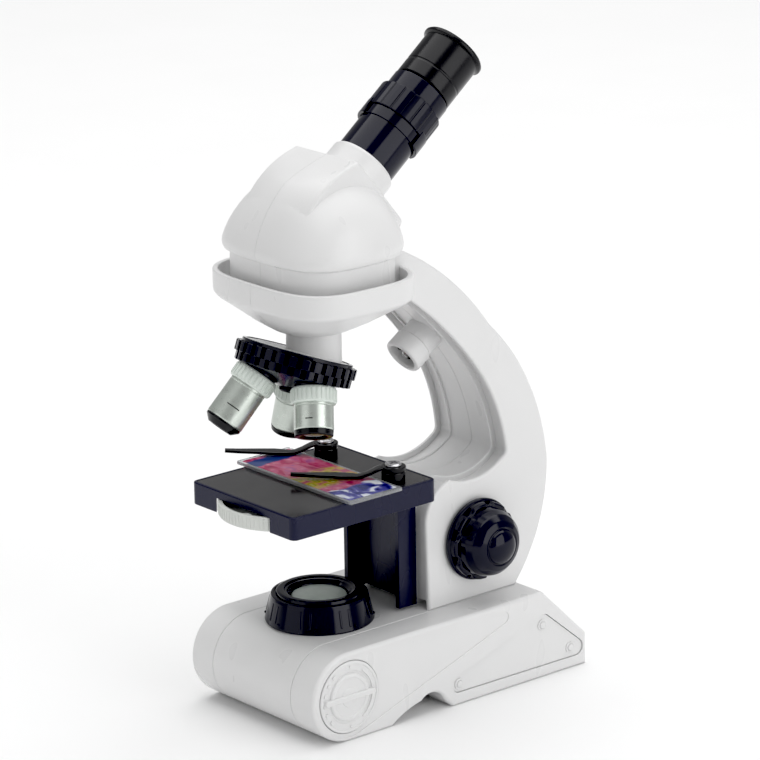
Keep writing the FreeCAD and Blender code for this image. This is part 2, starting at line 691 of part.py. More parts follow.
def objective(name, turn, barrel, tip, end_radius):
    """One objective: knurled collar, silver barrel and black tip on a leaning axis."""
    lean = (turret_frame() * Rotation(Vector(0, 0, 1), val("turret_phase") + turn)
            * Rotation(Vector(0, 1, 0), -val("turret_tilt")))
    top = Placement(Vector(0, 0, val("apex_z")), lean).multVec(Vector(0, 0, -val("seat")))
    collar = toothed(30, 7.15, 7.45, 5.3, 0.6).translated(Vector(0, 0, -5.3))
    collar = collar.cut(Part.makeCylinder(val("objective_bore"), 8, Vector(0, 0, -6)))
    pieces = [made("objective_collar_" + name, collar)]
    low, end = f"-5.3 - {barrel}", f"-5.3 - {barrel} - {tip}"
    pieces.append(turned("objective_barrel_" + name, [
        ("objective_bore", "-5.3"), ("objective_radius", "-5.3"), ("objective_radius + 0.1", low),
        ("objective_bore", low)]))
    pieces.append(turned("objective_tip_" + name, [
        ("objective_bore", low), ("objective_radius", low), ("objective_radius - 0.1", f"{low} - 0.7"),
        (end_radius, end), ("3.1", end), ("3.1", f"{low} - 0.6"), ("objective_bore", f"{low} - 0.4")]))
    for piece in pieces:
        piece.Placement = Placement(top, lean)
        piece.Label = piece.Name
        nodes.append(piece)
    lens = Part.makeCylinder(3.1, 1.2, Vector(0, 0, val(end) + 0.5))
    lens.Placement = Placement(top, lean)
    return lens


def objectives():
    """Three objectives; their front lenses are alike and share one sub-part."""
    lenses = [objective("short", 0, 7.4, 3.0, "5.8"),
              objective("middle", 120, 9.4, 3.0, "5.7"),
              objective("long", 240, 12.4, 3.7, "4.2")]
    finish(made("objective_lenses", Part.makeCompound(lenses)))


# ---------------------------------------------------------------- head
def dome_solid(half_x, half_y, rise):
    """Dome that leans back: its sections shrink as a quarter ellipse, from a rounded square to an ellipse."""
    low, lean = val("dome_low"), val("dome_lean")
    foot_power, top_power = 3.2, 2.0
    sections = []
    for angle in (0, 14, 28, 42, 55, 66, 76):
        share = math.cos(math.radians(angle))
        lift = math.sin(math.radians(angle))
        power = foot_power + (top_power - foot_power) * lift
        section = squircle(half_x * share, half_y * share, low + rise * lift, power)
        sections.append(section.translated(Vector(0, lean * lift, 0)))
    return Part.makeLoft(sections, True)


def head_solid():
    """Dome, skirt and the prism housing that rides over them, hollowed out."""
    half, depth, low, floor = val("dome_half"), val("dome_depth"), val("dome_low"), val("cup_floor")
    ridge = val("ridge_half")
    outer = dome_solid(half, depth, val("dome_rise"))
    outer = outer.fuse(swept(face_of(RIDGE_OUTLINE), -ridge, ridge))
    outer = outer.fuse(squircle_prism(25.6, 21, floor, low + 1))
    inner = dome_solid(half - 2.2, depth - 2.2, val("dome_rise") - 4.2).translated(Vector(0, 0, 2))
    inner = inner.fuse(swept(face_of(RIDGE_OUTLINE).makeOffset2D(-2), 2 - ridge, ridge - 2))
    inner = inner.fuse(squircle_prism(23.6, 19, floor - 1, low + 2.2))
    return outer.cut(inner)


def eyepiece_frame():
    """Local Z along the eyepiece, from the bend outwards."""
    return Rotation(Vector(1, 0, 0), -val("eyepiece_tilt"))


def head():
    solid = head_solid()
    hole = Part.makeCylinder(val("collar_radius") + 0.05, 60, Vector(0, 0, 13))
    hole.Placement = Placement(Vector(0, 0, val("bend_z")), eyepiece_frame())
    solid = solid.cut(hole)
    parting = half_space(1).translated(Vector(val("parting"), 0, 0))
    finish(made("head_right", solid.common(parting)))
    finish(made("head_left", solid.cut(parting)))


def prism():
    """Glass prism that turns the light from the neck into the eyepiece."""
    outline = [("-4.9", "150.3"), ("4.7", "169.8"), ("12", "160.6"), ("12", "150.3")]
    finish(padded("prism", "YZ_Plane", outline, "16", "-8"))


def eyepiece():
    """Collar, fixed tube, ribbed ring, draw tube, eye cup and eye lens, all on the leaning axis."""
    parts = [
        turned("eyepiece_collar", [
            ("tube_radius + 0.02", "15"), ("collar_radius", "15"), ("collar_radius", "27.6"),
            ("collar_radius - 0.5", "28.3"), ("tube_radius + 0.02", "28.3")]),
        turned("eyepiece_tube", [
            ("tube_bore", "14"), ("tube_radius", "14"), ("tube_radius", "59.6"), ("tube_bore", "59.6")]),
        turned("eyepiece_barrel", [
            ("draw_bore", "34"), ("tube_bore - 0.06", "34"), ("tube_bore - 0.06", "60.3"), ("10", "60.3"),
            ("10", "74"), ("draw_bore", "74")]),
        turned("eyepiece_cup", [
            ("draw_bore", "74"), ("10", "74"), ("10", "76.2"), ("10.9", "76.8"), ("10.9", "77.4"),
            ("10.3", "78"), ("9.4", "78"), ("6.9", "75.4")]),
        turned("eye_lens", [
            ("0", "71.2"), ("draw_bore - 0.05", "71.2"), ("draw_bore - 0.05", "72.6"),
            dome_top("draw_bore - 0.05", 72.6, 1.2)]),
    ]
    grip = toothed(10, 10.95, 11.5, 13.3, 0.72).translated(Vector(0, 0, 40.5))
    grip = grip.cut(Part.makeCylinder(val("tube_radius") + 0.06, 40, Vector(0, 0, 30)))
    parts.append(made("eyepiece_grip", grip))
    for part in parts:
        finish(part, "0", "0", "bend_z", eyepiece_frame())


# ---------------------------------------------------------------- focus drive
def rack_and_shaft():
    """Shaft with its moulded pinion, and the rack that it lifts."""
    pitch, teeth = val("pitch_radius"), int(val("rack_teeth_count"))
    pinion = toothed(teeth, pitch - 0.9, pitch + 0.75, 5.6, 0.42, -90)
    pinion = pinion.translated(Vector(0, 0, -2.8))
    pinion.Placement = Placement(Vector(0, 0, 0), ALONG_X) * pinion.Placement
    shaft = rod("shaft_rod", "shaft_radius", "50", "-25", turn=ALONG_X)
    finish(fuse("focus_shaft", [shaft, made("pinion_teeth", pinion)]), "0", "shaft_y", "shaft_z")
    step = 2 * math.pi * pitch / teeth
    front = val("shaft_y - pitch_radius") - 1.1
    rack = Part.makeBox(5, 1.8, 18.4, Vector(-2.5, front - 1.8, 38.2))
    for count in range(-5, 3):
        z = val("shaft_z") + step * (count + 0.5)
        tooth = [Vector(-2.5, front - 0.1, z - 0.62), Vector(-2.5, front - 0.1, z + 0.62),
                 Vector(-2.5, front + 1.7, z + 0.26), Vector(-2.5, front + 1.7, z - 0.26)]
        rack = rack.fuse(Part.Face(Part.makePolygon(tooth + tooth[:1])).extrude(Vector(5, 0, 0)))
    finish(made("focus_rack", rack))


def knob(name, side):
    """Focus knob: scalloped flange, domed cap and a small dome in the middle."""
    cap = turned(name + "_cap", [
        ("0", "0"), ("12.4", "0"), ("12.4", "2.6"), ("7.6", "9.4", "11.2", "6.4"), ("6", "9.9"),
        dome_top("6", 9.9, 3.3)])
    radius = val("knob_radius")
    lobes = Part.makeCylinder(radius, 2.8)
    out = radius + 1.3
    for count in range(9):
        angle = 2 * math.pi * count / 9
        middle = Vector(out * math.cos(angle), out * math.sin(angle), -0.5)
        lobes = lobes.cut(Part.makeCylinder(2.4, 4, middle))
    solid = fuse(name + "_solid", [cap, made(name + "_lobes", lobes)])
    turn = ALONG_X if side > 0 else Rotation(Vector(0, 1, 0), -90)
    body = cut(name, solid, [rod(name + "_socket", "shaft_radius", "5.5", z="-0.1")])
    finish(body, f"{side} * 20.2", "shaft_y", "shaft_z", turn)


# ---------------------------------------------------------------- stage
def stage():
    """Stage tray, open below, and the matte plate let into its top."""
    low = "stage_top - stage_depth"
    tray = slab("tray_block", "-stage_half", "stage_half", "stage_front", "stage_rear", low,
                "stage_top", "2.5")
    cavity = slab("tray_cavity", "stage_wall - stage_half", "stage_half - stage_wall",
                  "stage_front + stage_wall", "stage_rear - stage_wall", f"{low} - 1",
                  "stage_top - stage_roof", "1")
    recess = box("tray_recess", "2 - stage_half", "stage_half - 2", "stage_front + 2", "stage_rear - 2",
                 "stage_top - 0.9", "stage_top + 1")
    notch = box("tray_notch", "-12.6", "11.8", "stage_front - 1", "stage_front + 3", f"{low} - 1", "74.6")
    swing = rod("tray_wheel_swing", "wheel_radius + 0.4", "5.9", "wheel_x", "wheel_y", f"{low} - 1")
    hub_hole = rod("tray_hub_hole", "1.2", "7.5", "wheel_x", "wheel_y", f"{low} - 1")
    holes = stage_holes("tray", low)
    finish(cut("stage_tray", tray, [cavity, recess, notch, swing, hub_hole] + holes))
    plate = box("plate_sheet", "2.1 - stage_half", "stage_half - 2.1", "stage_front + 2.1",
                "stage_rear - 2.1", "stage_top - 0.9", "stage_top - 0.25")
    finish(cut("stage_plate", plate, stage_holes("plate", low)))


def post_x(side):
    return f"post_middle + {side} * post_spread"


def stage_holes(name, low):
    """The light hole and the holes for the clips' two posts, right through."""
    holes = [rod(name + "_light_hole", "6", "20", z=f"{low} - 4")]
    for side in (1, -1):
        holes.append(rod(f"{name}_post_hole_{side}", "1.2", "20", post_x(side), "post_y", f"{low} - 4"))
    return holes


def carriage():
    """U-shaped carriage that slides up and down on the arm's front."""
    half, back = "carriage_half", "arm_front - 0.3"
    front = "22.2"
    low = "stage_top - stage_depth"
    parts = [box("carriage_web", f"-{half}", half, f"{back} - 2.2", back, "32.5", low),
             box("carriage_side_right", f"{half} - 2", half, front, back, "31", low),
             box("carriage_side_left", f"-{half}", f"2 - {half}", front, back, "31", low),
             box("carriage_lug", "-11", "11", "22.4", "stage_rear - stage_wall - 0.1", f"{low} - 4",
                 "stage_top - stage_roof"),
             box("carriage_shelf", f"-{half}", half, front, back, f"{low} - 2", low),
             box("carriage_tongue", "-2.1", "2.1", f"{back} - 1", "shaft_y - pitch_radius - 2.9",
                 "39.5", "56")]
    finish(fuse("stage_carriage", parts))


def filter_wheel():
    """Dished wheel under the stage: rim, web with six light holes, and a hub."""
    dish = turned("wheel_dish", [
        ("1.3", "0"), ("4", "0"), ("4", "1"), ("wheel_radius - 1.5", "1"), ("wheel_radius - 1.5", "0"),
        ("wheel_radius", "0"), ("wheel_radius", "4.6"), ("wheel_radius - 1.5", "4.6"),
        ("wheel_radius - 1.5", "2.2"), ("3.4", "2.2"), ("3.4", "4.6"), ("1.3", "4.6")])
    holes = []
    for count, radius in enumerate((3.6, 3.1, 2.6, 2.1, 1.6, 1.1)):
        angle = math.radians(90 + 60 * count)
        distance = -val("wheel_y")
        holes.append(rod(f"wheel_hole_{count}", radius, "3", distance * math.cos(angle),
                         distance * math.sin(angle), "0"))
    finish(cut("filter_wheel", dish, holes), "wheel_x", "wheel_y", "wheel_low")
    screw = turned("filter_wheel_screw", [
        ("0", "-1.2"), ("2.8", "-1.2"), ("2.8", "-0.15"), ("1.2", "-0.15"), ("1.2", "6.3"), ("0", "6.3")])
    finish(screw, "wheel_x", "wheel_y", "wheel_low")


def clip(name, side):
    """Spring clip: round boss on its screw, a cranked arm and a lifted tip."""
    boss = Part.makeCylinder(3.6, val("post_rise") - 0.05, Vector(0, 0, 0.05))
    boss = boss.cut(Part.makeCylinder(1.26, 8, Vector(0, 0, -1)))
    reach = val("clip_reach")
    rise = val("post_rise")
    profile = [(0, rise), (4.6, rise), (11, 3.0), (reach - 6, 2.4), (reach, 3.4)]
    upper = [Vector(0, along, height) for along, height in profile]
    lower = [Vector(0, along, height - 1.1) for along, height in reversed(profile)]
    ribbon = Part.Face(Part.makePolygon(upper + lower + upper[:1])).extrude(Vector(4.4, 0, 0))
    ribbon = ribbon.translated(Vector(-2.2, 0, 0))
    right_edge = [Vector(2.2, -1, -1), Vector(2.2, 10, -1), Vector(1.3, 37, -1)]
    left_edge = [Vector(-point.x, point.y, -1) for point in reversed(right_edge)]
    taper = Part.makePolygon(right_edge + left_edge + right_edge[:1])
    ribbon = ribbon.common(Part.Face(taper).extrude(Vector(0, 0, 12)))
    ribbon = ribbon.cut(Part.makeCylinder(1.26, 12, Vector(0, 0, -1)))
    finish(made(name, boss.fuse(ribbon)), post_x(side), "post_y", "stage_top",
           Rotation(Vector(0, 0, 1), val("clip_turn")))


def clip_screws():
    height = val("stage_top") + val("post_rise") + 0.05
    seats = [(Vector(val(post_x(side)), val("post_y"), height), Vector(0, 0, 1)) for side in (1, -1)]
    set_screws("clip_screws", screw_shape(2.7, 1.0, 1.2, 9.5), seats)


def specimen_slide():
    finish(box("specimen_slide", "0", "58", "0", "22", "0", "1"), "-30", "-9.4", "stage_top + 0.02")


# ---------------------------------------------------------------- assembly
base_shell()
rail("rail_right", 1)
rail("rail_left", -1)
side_cover("side_cover_right", 1)
side_cover("side_cover_left", -1)
side_cover_screws()
bottom_plate()
battery_door()
base_screws()
cell("cell_a", 1)
cell("cell_b", -1)
cell_contacts()
cell_springs()
lamp()
dial("dial_right", 1)
dial("dial_left", -1)
dial_spindle()
illuminator()
arm_half("arm_right", 1)
arm_half("arm_left", -1)
set_screws("arm_screws", screw_shape(1.9, 0.7, 1.0, 5), arm_screw_seats())
spot_lamp()
nosepiece_neck()
turret()
objectives()
head()
prism()
eyepiece()
rack_and_shaft()
knob("knob_right", 1)
knob("knob_left", -1)
stage()
carriage()
filter_wheel()
clip("clip_right", 1)
clip("clip_left", -1)
clip_screws()
specimen_slide()

# ---------------------------------------------------------------- check and export
doc.recompute()
problems = []
for obj in doc.Objects:
    if any(word in ("Invalid", "Error") for word in obj.State):
        problems.append(f"{obj.Name}: {obj.State}")
for node in nodes:
    if node.Shape.isNull() or not node.Shape.isValid():
        problems.append(f"{node.Label}: no valid shape")
if problems:
    raise SystemExit("\n".join(problems))
for node in nodes:
    node.Shape.exportStep(f"parts/{node.Label}.step")
print(len(nodes), "sub-parts")
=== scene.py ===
"""A children's toy microscope: the visible pieces, their materials, the studio and the camera.

Lengths are millimetres in the sections below and become metres where a mesh is made.
The frame's origin is on the desk under the optical axis; +Y leads back to the arm."""
import math

import bmesh
import bpy
from mathutils import Matrix, Vector


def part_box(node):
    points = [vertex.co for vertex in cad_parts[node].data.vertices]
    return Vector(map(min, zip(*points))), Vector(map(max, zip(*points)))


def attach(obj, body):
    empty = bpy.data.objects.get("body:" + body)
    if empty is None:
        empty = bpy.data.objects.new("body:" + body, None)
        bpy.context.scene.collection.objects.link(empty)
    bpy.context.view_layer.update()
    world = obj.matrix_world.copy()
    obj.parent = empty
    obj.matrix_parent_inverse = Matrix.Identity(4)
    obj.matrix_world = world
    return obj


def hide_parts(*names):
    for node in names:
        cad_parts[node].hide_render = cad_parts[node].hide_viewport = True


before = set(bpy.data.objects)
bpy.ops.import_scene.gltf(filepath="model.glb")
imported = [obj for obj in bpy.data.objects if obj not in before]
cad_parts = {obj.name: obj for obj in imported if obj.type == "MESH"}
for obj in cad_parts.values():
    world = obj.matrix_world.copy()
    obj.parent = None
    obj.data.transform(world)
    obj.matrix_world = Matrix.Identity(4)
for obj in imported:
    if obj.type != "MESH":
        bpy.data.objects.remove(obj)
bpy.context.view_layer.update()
MM = 0.001


# ------------------------------ outlines
def eased(corners, steps=5, closed=True):
    """Corners (a, b) or (a, b, radius) as points, each corner with a radius rounded off."""
    points = []
    for i, corner in enumerate(corners):
        here = Vector(corner[:2])
        radius = corner[2] if len(corner) > 2 else 0
        open_end = not closed and i in (0, len(corners) - 1)
        if not radius or open_end:
            points.append(here)
            continue
        before = Vector(corners[i - 1][:2]) - here
        after = Vector(corners[(i + 1) % len(corners)][:2]) - here
        angle = before.angle(after)
        reach = min(radius / math.tan(angle / 2), before.length * 0.49, after.length * 0.49)
        start = here + before.normalized() * reach
        end = here + after.normalized() * reach
        for step in range(steps + 1):
            t = step / steps
            points.append(start * (1 - t) ** 2 + here * 2 * t * (1 - t) + end * t ** 2)
    return points


def arc(centre, radius, start, end, steps=24):
    """Points of an arc, angles in degrees."""
    points = []
    for step in range(steps + 1):
        angle = math.radians(start + (end - start) * step / steps)
        points.append((centre[0] + radius * math.cos(angle), centre[1] + radius * math.sin(angle)))
    return points


def arc_through(start, via, end, steps=24):
    """Points of the arc from start to end through via, without the start."""
    ax, ay, bx, by, cx, cy = *start, *via, *end
    d = 2 * (ax * (by - cy) + bx * (cy - ay) + cx * (ay - by))
    a, b, c = ax * ax + ay * ay, bx * bx + by * by, cx * cx + cy * cy
    ux = (a * (by - cy) + b * (cy - ay) + c * (ay - by)) / d
    uy = (a * (cx - bx) + b * (ax - cx) + c * (bx - ax)) / d
    radius = math.hypot(ax - ux, ay - uy)
    first = math.atan2(ay - uy, ax - ux)
    middle = math.atan2(by - uy, bx - ux)
    last = math.atan2(cy - uy, cx - ux)
    turn = 2 * math.pi
    way = 1 if (middle - first) % turn < (last - first) % turn else -1
    sweep = way * ((way * (last - first)) % turn)
    angles = [first + sweep * s / steps for s in range(1, steps + 1)]
    return [(ux + radius * math.cos(angle), uy + radius * math.sin(angle)) for angle in angles]


def offset(points, distance):
    """A closed outline moved outwards by the distance (inwards when negative)."""
    points = [Vector(p) for p in points]
    area = sum(a.x * b.y - b.x * a.y for a, b in zip(points, points[1:] + points[:1]))
    side = 1 if area > 0 else -1
    moved = []
    for i, here in enumerate(points):
        before = (here - points[i - 1]).normalized()
        after = (points[(i + 1) % len(points)] - here).normalized()
        normal = Vector((before.y + after.y, -(before.x + after.x))) * side
        if normal.length < 1e-9:
            normal = Vector((before.y, -before.x)) * side
        normal.normalize()
        share = max(0.5, normal.dot(Vector((before.y, -before.x)) * side))
        moved.append(here + normal * distance / share)
    return moved


def rounded_box(low_x, high_x, low_y, high_y, radius, steps=8):
    return eased([(low_x, low_y, radius), (high_x, low_y, radius), (high_x, high_y, radius),
                  (low_x, high_y, radius)], steps)


def wedge(near, far, near_ease, far_ease, steps=3):
    """Outline of a short bar along x; near and far are (x, half width) of its ends."""
    return eased([(near[0], -near[1], near_ease), (far[0], -far[1], far_ease), (far[0], far[1], far_ease),
                  (near[0], near[1], near_ease)], steps)


def disc(radius, x=0, y=0, steps=64):
    angles = [2 * math.pi * s / steps for s in range(steps)]
    return [Vector((x + radius * math.cos(angle), y + radius * math.sin(angle))) for angle in angles]


def crown(radius, level, rise, start=10, step=10):
    """Profile points of a shallow dome from its rim up to its middle."""
    angles = [math.radians(a) for a in range(start, 91, step)]
    return [(radius * math.cos(angle), level + rise * math.sin(angle)) for angle in angles]


def superellipse(c, s, half_x, half_y, power):
    """Distance from the middle to an outline between an ellipse and a rectangle, in the direction (c, s)."""
    return (abs(c / half_x) ** power + abs(s / half_y) ** power) ** (-1 / power)


def gear(count, root, tip, share, phase=0.0, ease=0.25):
    """Outline with blocky teeth, each corner eased a little."""
    corners = []
    for tooth in range(count):
        middle = 2 * math.pi * tooth / count + math.radians(phase)
        half = math.pi * share / count
        for radius, angle in ((root, middle - half * 1.06), (tip, middle - half * 0.9),
                              (tip, middle), (tip, middle + half * 0.9), (root, middle + half * 1.06)):
            corners.append((radius * math.cos(angle), radius * math.sin(angle), ease))
    return eased(corners, 2)


# ------------------------------ meshes
SIDE = Matrix(((0, 0, 1), (1, 0, 0), (0, 1, 0))).to_4x4()     # outline (y, z), thickness along X
FLAT = Matrix.Identity(4)                                       # outline (x, y), thickness along Z


def at(x, y, z, turn=None):
    """A frame at a point, turned by an optional matrix."""
    return Matrix.Translation((x, y, z)) @ (turn.to_4x4() if turn else Matrix.Identity(4))


def about(axis, degrees):
    return Matrix.Rotation(math.radians(degrees), 4, axis)


def linked(name, data):
    """A new object for a mesh, a lamp or a camera."""
    obj = bpy.data.objects.new(name, data)
    bpy.context.scene.collection.objects.link(obj)
    return obj


def mesh_object(name, points, faces):
    """An object from points in mm; its normals face outwards."""
    mesh = bpy.data.meshes.new(name)
    mesh.from_pydata([Vector(p) * MM for p in points], [], faces)
    work = bmesh.new()
    work.from_mesh(mesh)
    bmesh.ops.remove_doubles(work, verts=work.verts, dist=1e-7)
    bmesh.ops.recalc_face_normals(work, faces=work.faces)
    work.to_mesh(mesh)
    work.free()
    return linked(name, mesh)


def tube_of_rings(rings, caps=True, closed=True):
    """Points and faces between rings of equally many points, closed rings with a cap at each end."""
    size = len(rings[0])
    steps = size if closed else size - 1
    points = [p for ring in rings for p in ring]
    faces = []
    for r in range(len(rings) - 1):
        for i in range(steps):
            a, b = r * size + i, r * size + (i + 1) % size
            faces.append((a, b, b + size, a + size))
    if caps:
        faces.append(tuple(range(size)))
        last = (len(rings) - 1) * size
        faces.append(tuple(last + i for i in range(size)))
    return points, faces


def prism(name, outline, low, high, rim=(0.3, 0.3), place=FLAT, steps=4):
    """An outline made thick, with rounded rims at both ends."""
    rings = []
    for end, radius, way in ((low, rim[0], -1), (high, rim[1], 1)):
        angles = [90 * s / steps for s in range(steps + 1)] if radius else [0]
        if way < 0:
            angles = angles[::-1]
        for angle in map(math.radians, angles):
            inset = radius * (1 - math.cos(angle))
            level = end + way * radius * (math.sin(angle) - 1)
            rings.append([place @ Vector((p[0], p[1], level)) for p in offset(outline, -inset)])
    return mesh_object(name, *tube_of_rings(rings))


def lathe(name, profile, place=FLAT, steps=96, closed=True):
    """A profile of (radius, height) points turned about the frame's Z axis."""
    rings = []
    for radius, height in profile:
        ring = []
        for s in range(steps):
            angle = 2 * math.pi * s / steps
            ring.append(place @ Vector((radius * math.cos(angle), radius * math.sin(angle), height)))
        rings.append(ring)
    if closed:
        rings.append(rings[0])
    return mesh_object(name, *tube_of_rings(rings, caps=False))


def joined(name, parts):
    """Several objects as one."""
    work = bmesh.new()
    for part in parts:
        work.from_mesh(part.data)
        mesh = part.data
        bpy.data.objects.remove(part)
        bpy.data.meshes.remove(mesh)
    mesh = bpy.data.meshes.new(name)
    work.to_mesh(mesh)
    work.free()
    return linked(name, mesh)


def mirror_x(obj):
    """Turn an object into its mirror image across the middle plane."""
    work = bmesh.new()
    work.from_mesh(obj.data)
    for vertex in work.verts:
        vertex.co.x = -vertex.co.x
    bmesh.ops.reverse_faces(work, faces=work.faces)
    work.to_mesh(obj.data)
    work.free()


SIDES = {1: "right", -1: "left"}


def sided(obj, side, label):
    """An object made for the right side as the right or left one of its pair."""
    if side < 0:
        mirror_x(obj)
    obj.name = label + SIDES[side]
    return obj


def carved(obj, cutters, operation="DIFFERENCE"):
    """The object with the cutters taken away, or welded on; the cutters are removed."""
    for cutter in cutters:
        step = obj.modifiers.new("carve", "BOOLEAN")
        step.operation = operation
        step.solver = "MANIFOLD"
        step.object = cutter
    graph = bpy.context.evaluated_depsgraph_get()
    mesh = bpy.data.meshes.new_from_object(obj.evaluated_get(graph))
    obj.modifiers.clear()
    old = obj.data
    obj.data = mesh
    mesh.name = obj.name
    bpy.data.meshes.remove(old)
    for cutter in cutters:
        bpy.data.objects.remove(cutter)
    return obj


def copied(name, node):
    """A CAD node as a piece, cleaned so that its edges can be bevelled."""
    work = bmesh.new()
    work.from_mesh(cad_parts[node].data)
    bmesh.ops.remove_doubles(work, verts=work.verts, dist=2e-6)
    bmesh.ops.dissolve_limit(work, angle_limit=math.radians(0.6), verts=work.verts, edges=work.edges)
    mesh = bpy.data.meshes.new(name)
    work.to_mesh(mesh)
    work.free()
    return linked(name, mesh)


def set_up(obj, material, body, nodes=(), bevel=0.0, smooth=32):
    """Give a piece its material, shading, soft edges and place in the moving model."""
    obj.data.materials.clear()
    obj.data.materials.append(material)
    obj.data.shade_smooth()
    work = bmesh.new()
    work.from_mesh(obj.data)
    limit = math.radians(smooth)
    for edge in work.edges:
        edge.smooth = edge.calc_face_angle(0) < limit
    work.to_mesh(obj.data)
    work.free()
    if bevel:
        soft = obj.modifiers.new("soft edges", "BEVEL")
        soft.width = bevel * MM
        soft.segments = 3
        soft.limit_method = "ANGLE"
        soft.angle_limit = limit
        soft.miter_outer = "MITER_ARC"
    flats = obj.modifiers.new("flat faces stay flat", "WEIGHTED_NORMAL")
    flats.keep_sharp = True
    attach(obj, body)
    if nodes:
        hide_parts(*nodes)
    return obj


def turned(name, corners, place, look, body, nodes=(), ease=4, steps=96, closed=True):
    """A finished piece turned from profile corners (radius, height, rounding)."""
    profile = eased(corners, ease, closed)
    return set_up(lathe(name, profile, place, steps, closed), LOOK[look], body, nodes)


# ------------------------------ materials
class Recipe:
    """A Principled material with a few procedural helpers; lengths are in mm."""

    def __init__(self, name, colour, roughness, **sockets):
        self.material = bpy.data.materials.new(name)
        self.material.use_nodes = True
        self.nodes = self.material.node_tree.nodes
        self.links = self.material.node_tree.links
        self.shader = self.nodes["Principled BSDF"]
        self.shader.inputs["Base Color"].default_value = (*colour, 1)
        self.shader.inputs["Roughness"].default_value = roughness
        for socket, value in sockets.items():
            self.shader.inputs[socket.replace("_", " ").title().replace("Ior", "IOR")].default_value = value
        self.place = self.add("ShaderNodeTexCoord").outputs["Object"]

    def add(self, kind, **settings):
        node = self.nodes.new(kind)
        for key, value in settings.items():
            setattr(node, key, value)
        return node

    def link(self, source, node, socket):
        self.links.new(source, node.inputs[socket])
        return node

    def stretched(self, scale):
        """The object's coordinates in mm, stretched by three factors."""
        node = self.add("ShaderNodeMapping")
        node.inputs["Scale"].default_value = [s / MM for s in scale]
        return self.link(self.place, node, "Vector").outputs["Vector"]

    def noise(self, size, detail=3.0, scale=(1, 1, 1), distortion=0.0):
        """Noise whose blotches are about size mm wide."""
        node = self.add("ShaderNodeTexNoise")
        node.inputs["Scale"].default_value = 1 / size
        node.inputs["Detail"].default_value = detail
        node.inputs["Distortion"].default_value = distortion
        return self.link(self.stretched(scale), node, "Vector").outputs["Fac"]

    def ramp(self, source, *stops):
        """A colour ramp through (position, colour or grey level) stops."""
        node = self.add("ShaderNodeValToRGB")
        elements = node.color_ramp.elements
        while len(elements) < len(stops):
            elements.new(0.5)
        for element, (position, colour) in zip(elements, stops):
            element.position = position
            element.color = (*colour, 1) if isinstance(colour, tuple) else (colour, colour, colour, 1)
        return self.link(source, node, "Fac").outputs["Color"]

    def spread(self, source, low, high):
        """A 0..1 value spread over another range."""
        node = self.add("ShaderNodeMapRange")
        node.inputs["From Min"].default_value = 0.3
        node.inputs["From Max"].default_value = 0.7
        node.inputs["To Min"].default_value = low
        node.inputs["To Max"].default_value = high
        return self.link(source, node, "Value").outputs["Result"]

    def mix(self, factor, first, second):
        """Colour mix; first and second are sockets or colours."""
        node = self.add("ShaderNodeMix", data_type="RGBA")
        self.links.new(factor, node.inputs["Factor"])
        for socket, value in (("A", first), ("B", second)):
            target = next(i for i in node.inputs if i.name == socket and i.type == "RGBA")
            if isinstance(value, tuple):
                target.default_value = (*value, 1)
            else:
                self.links.new(value, target)
        return next(o for o in node.outputs if o.type == "RGBA")

    def maths(self, operation, first, second=None, third=None):
        node = self.add("ShaderNodeMath", operation=operation)
        for i, value in enumerate((first, second, third)):
            if value is None:
                continue
            if isinstance(value, (int, float)):
                node.inputs[i].default_value = value
            else:
                self.links.new(value, node.inputs[i])
        return node.outputs["Value"]

    def bumps(self, *layers):
        """Stack bump layers of (height socket, depth in mm)."""
        normal = None
        for height, depth in layers:
            node = self.add("ShaderNodeBump")
            node.inputs["Strength"].default_value = 1
            node.inputs["Distance"].default_value = depth * MM
            self.link(height, node, "Height")
            if normal:
                self.link(normal, node, "Normal")
            normal = node.outputs["Normal"]
        self.link(normal, self.shader, "Normal")

    def band(self, centre, half, soft):
        """1 within half mm of x = centre, fading over soft mm, with a wavy edge."""
        axes = self.add("ShaderNodeSeparateXYZ")
        self.link(self.stretched((1, 1, 1)), axes, "Vector")
        wavy = self.maths("ADD", axes.outputs["X"], self.maths("MULTIPLY", self.noise(6, 3), 5.0))
        away = self.maths("ABSOLUTE", self.maths("SUBTRACT", wavy, centre + 2.5))
        fade = self.add("ShaderNodeMapRange", interpolation_type="SMOOTHSTEP")
        for socket, value in (("From Min", half - soft), ("From Max", half), ("To Min", 1), ("To Max", 0)):
            fade.inputs[socket].default_value = value
        return self.link(away, fade, "Value").outputs["Result"]

    def colour(self, source):
        self.link(source, self.shader, "Base Color")

    def roughness(self, source):
        self.link(source, self.shader, "Roughness")


def tinted(colour, factor):
    return tuple(min(1, c * factor) for c in colour)


def moulded(name, colour, roughness, mottle=0.03, grain=0.006, ripple=0.03, **sockets):
    """Moulded plastic: faint mottling, a slightly uneven gloss, fine grain and slow ripples."""
    r = Recipe(name, colour, roughness, **sockets)
    blotches = r.noise(16, 1)
    r.colour(r.mix(r.spread(blotches, 0, 1), tinted(colour, 1 - mottle), tinted(colour, 1 + mottle)))
    smear = r.noise(8, 1, (1, 1, 0.4))
    r.roughness(r.spread(smear, roughness * 0.85, roughness * 1.2))
    layers = [(r.noise(9, 1), ripple)]
    if grain:
        layers.append((r.noise(0.6, 2), grain))
    r.bumps(*layers)
    return r.material


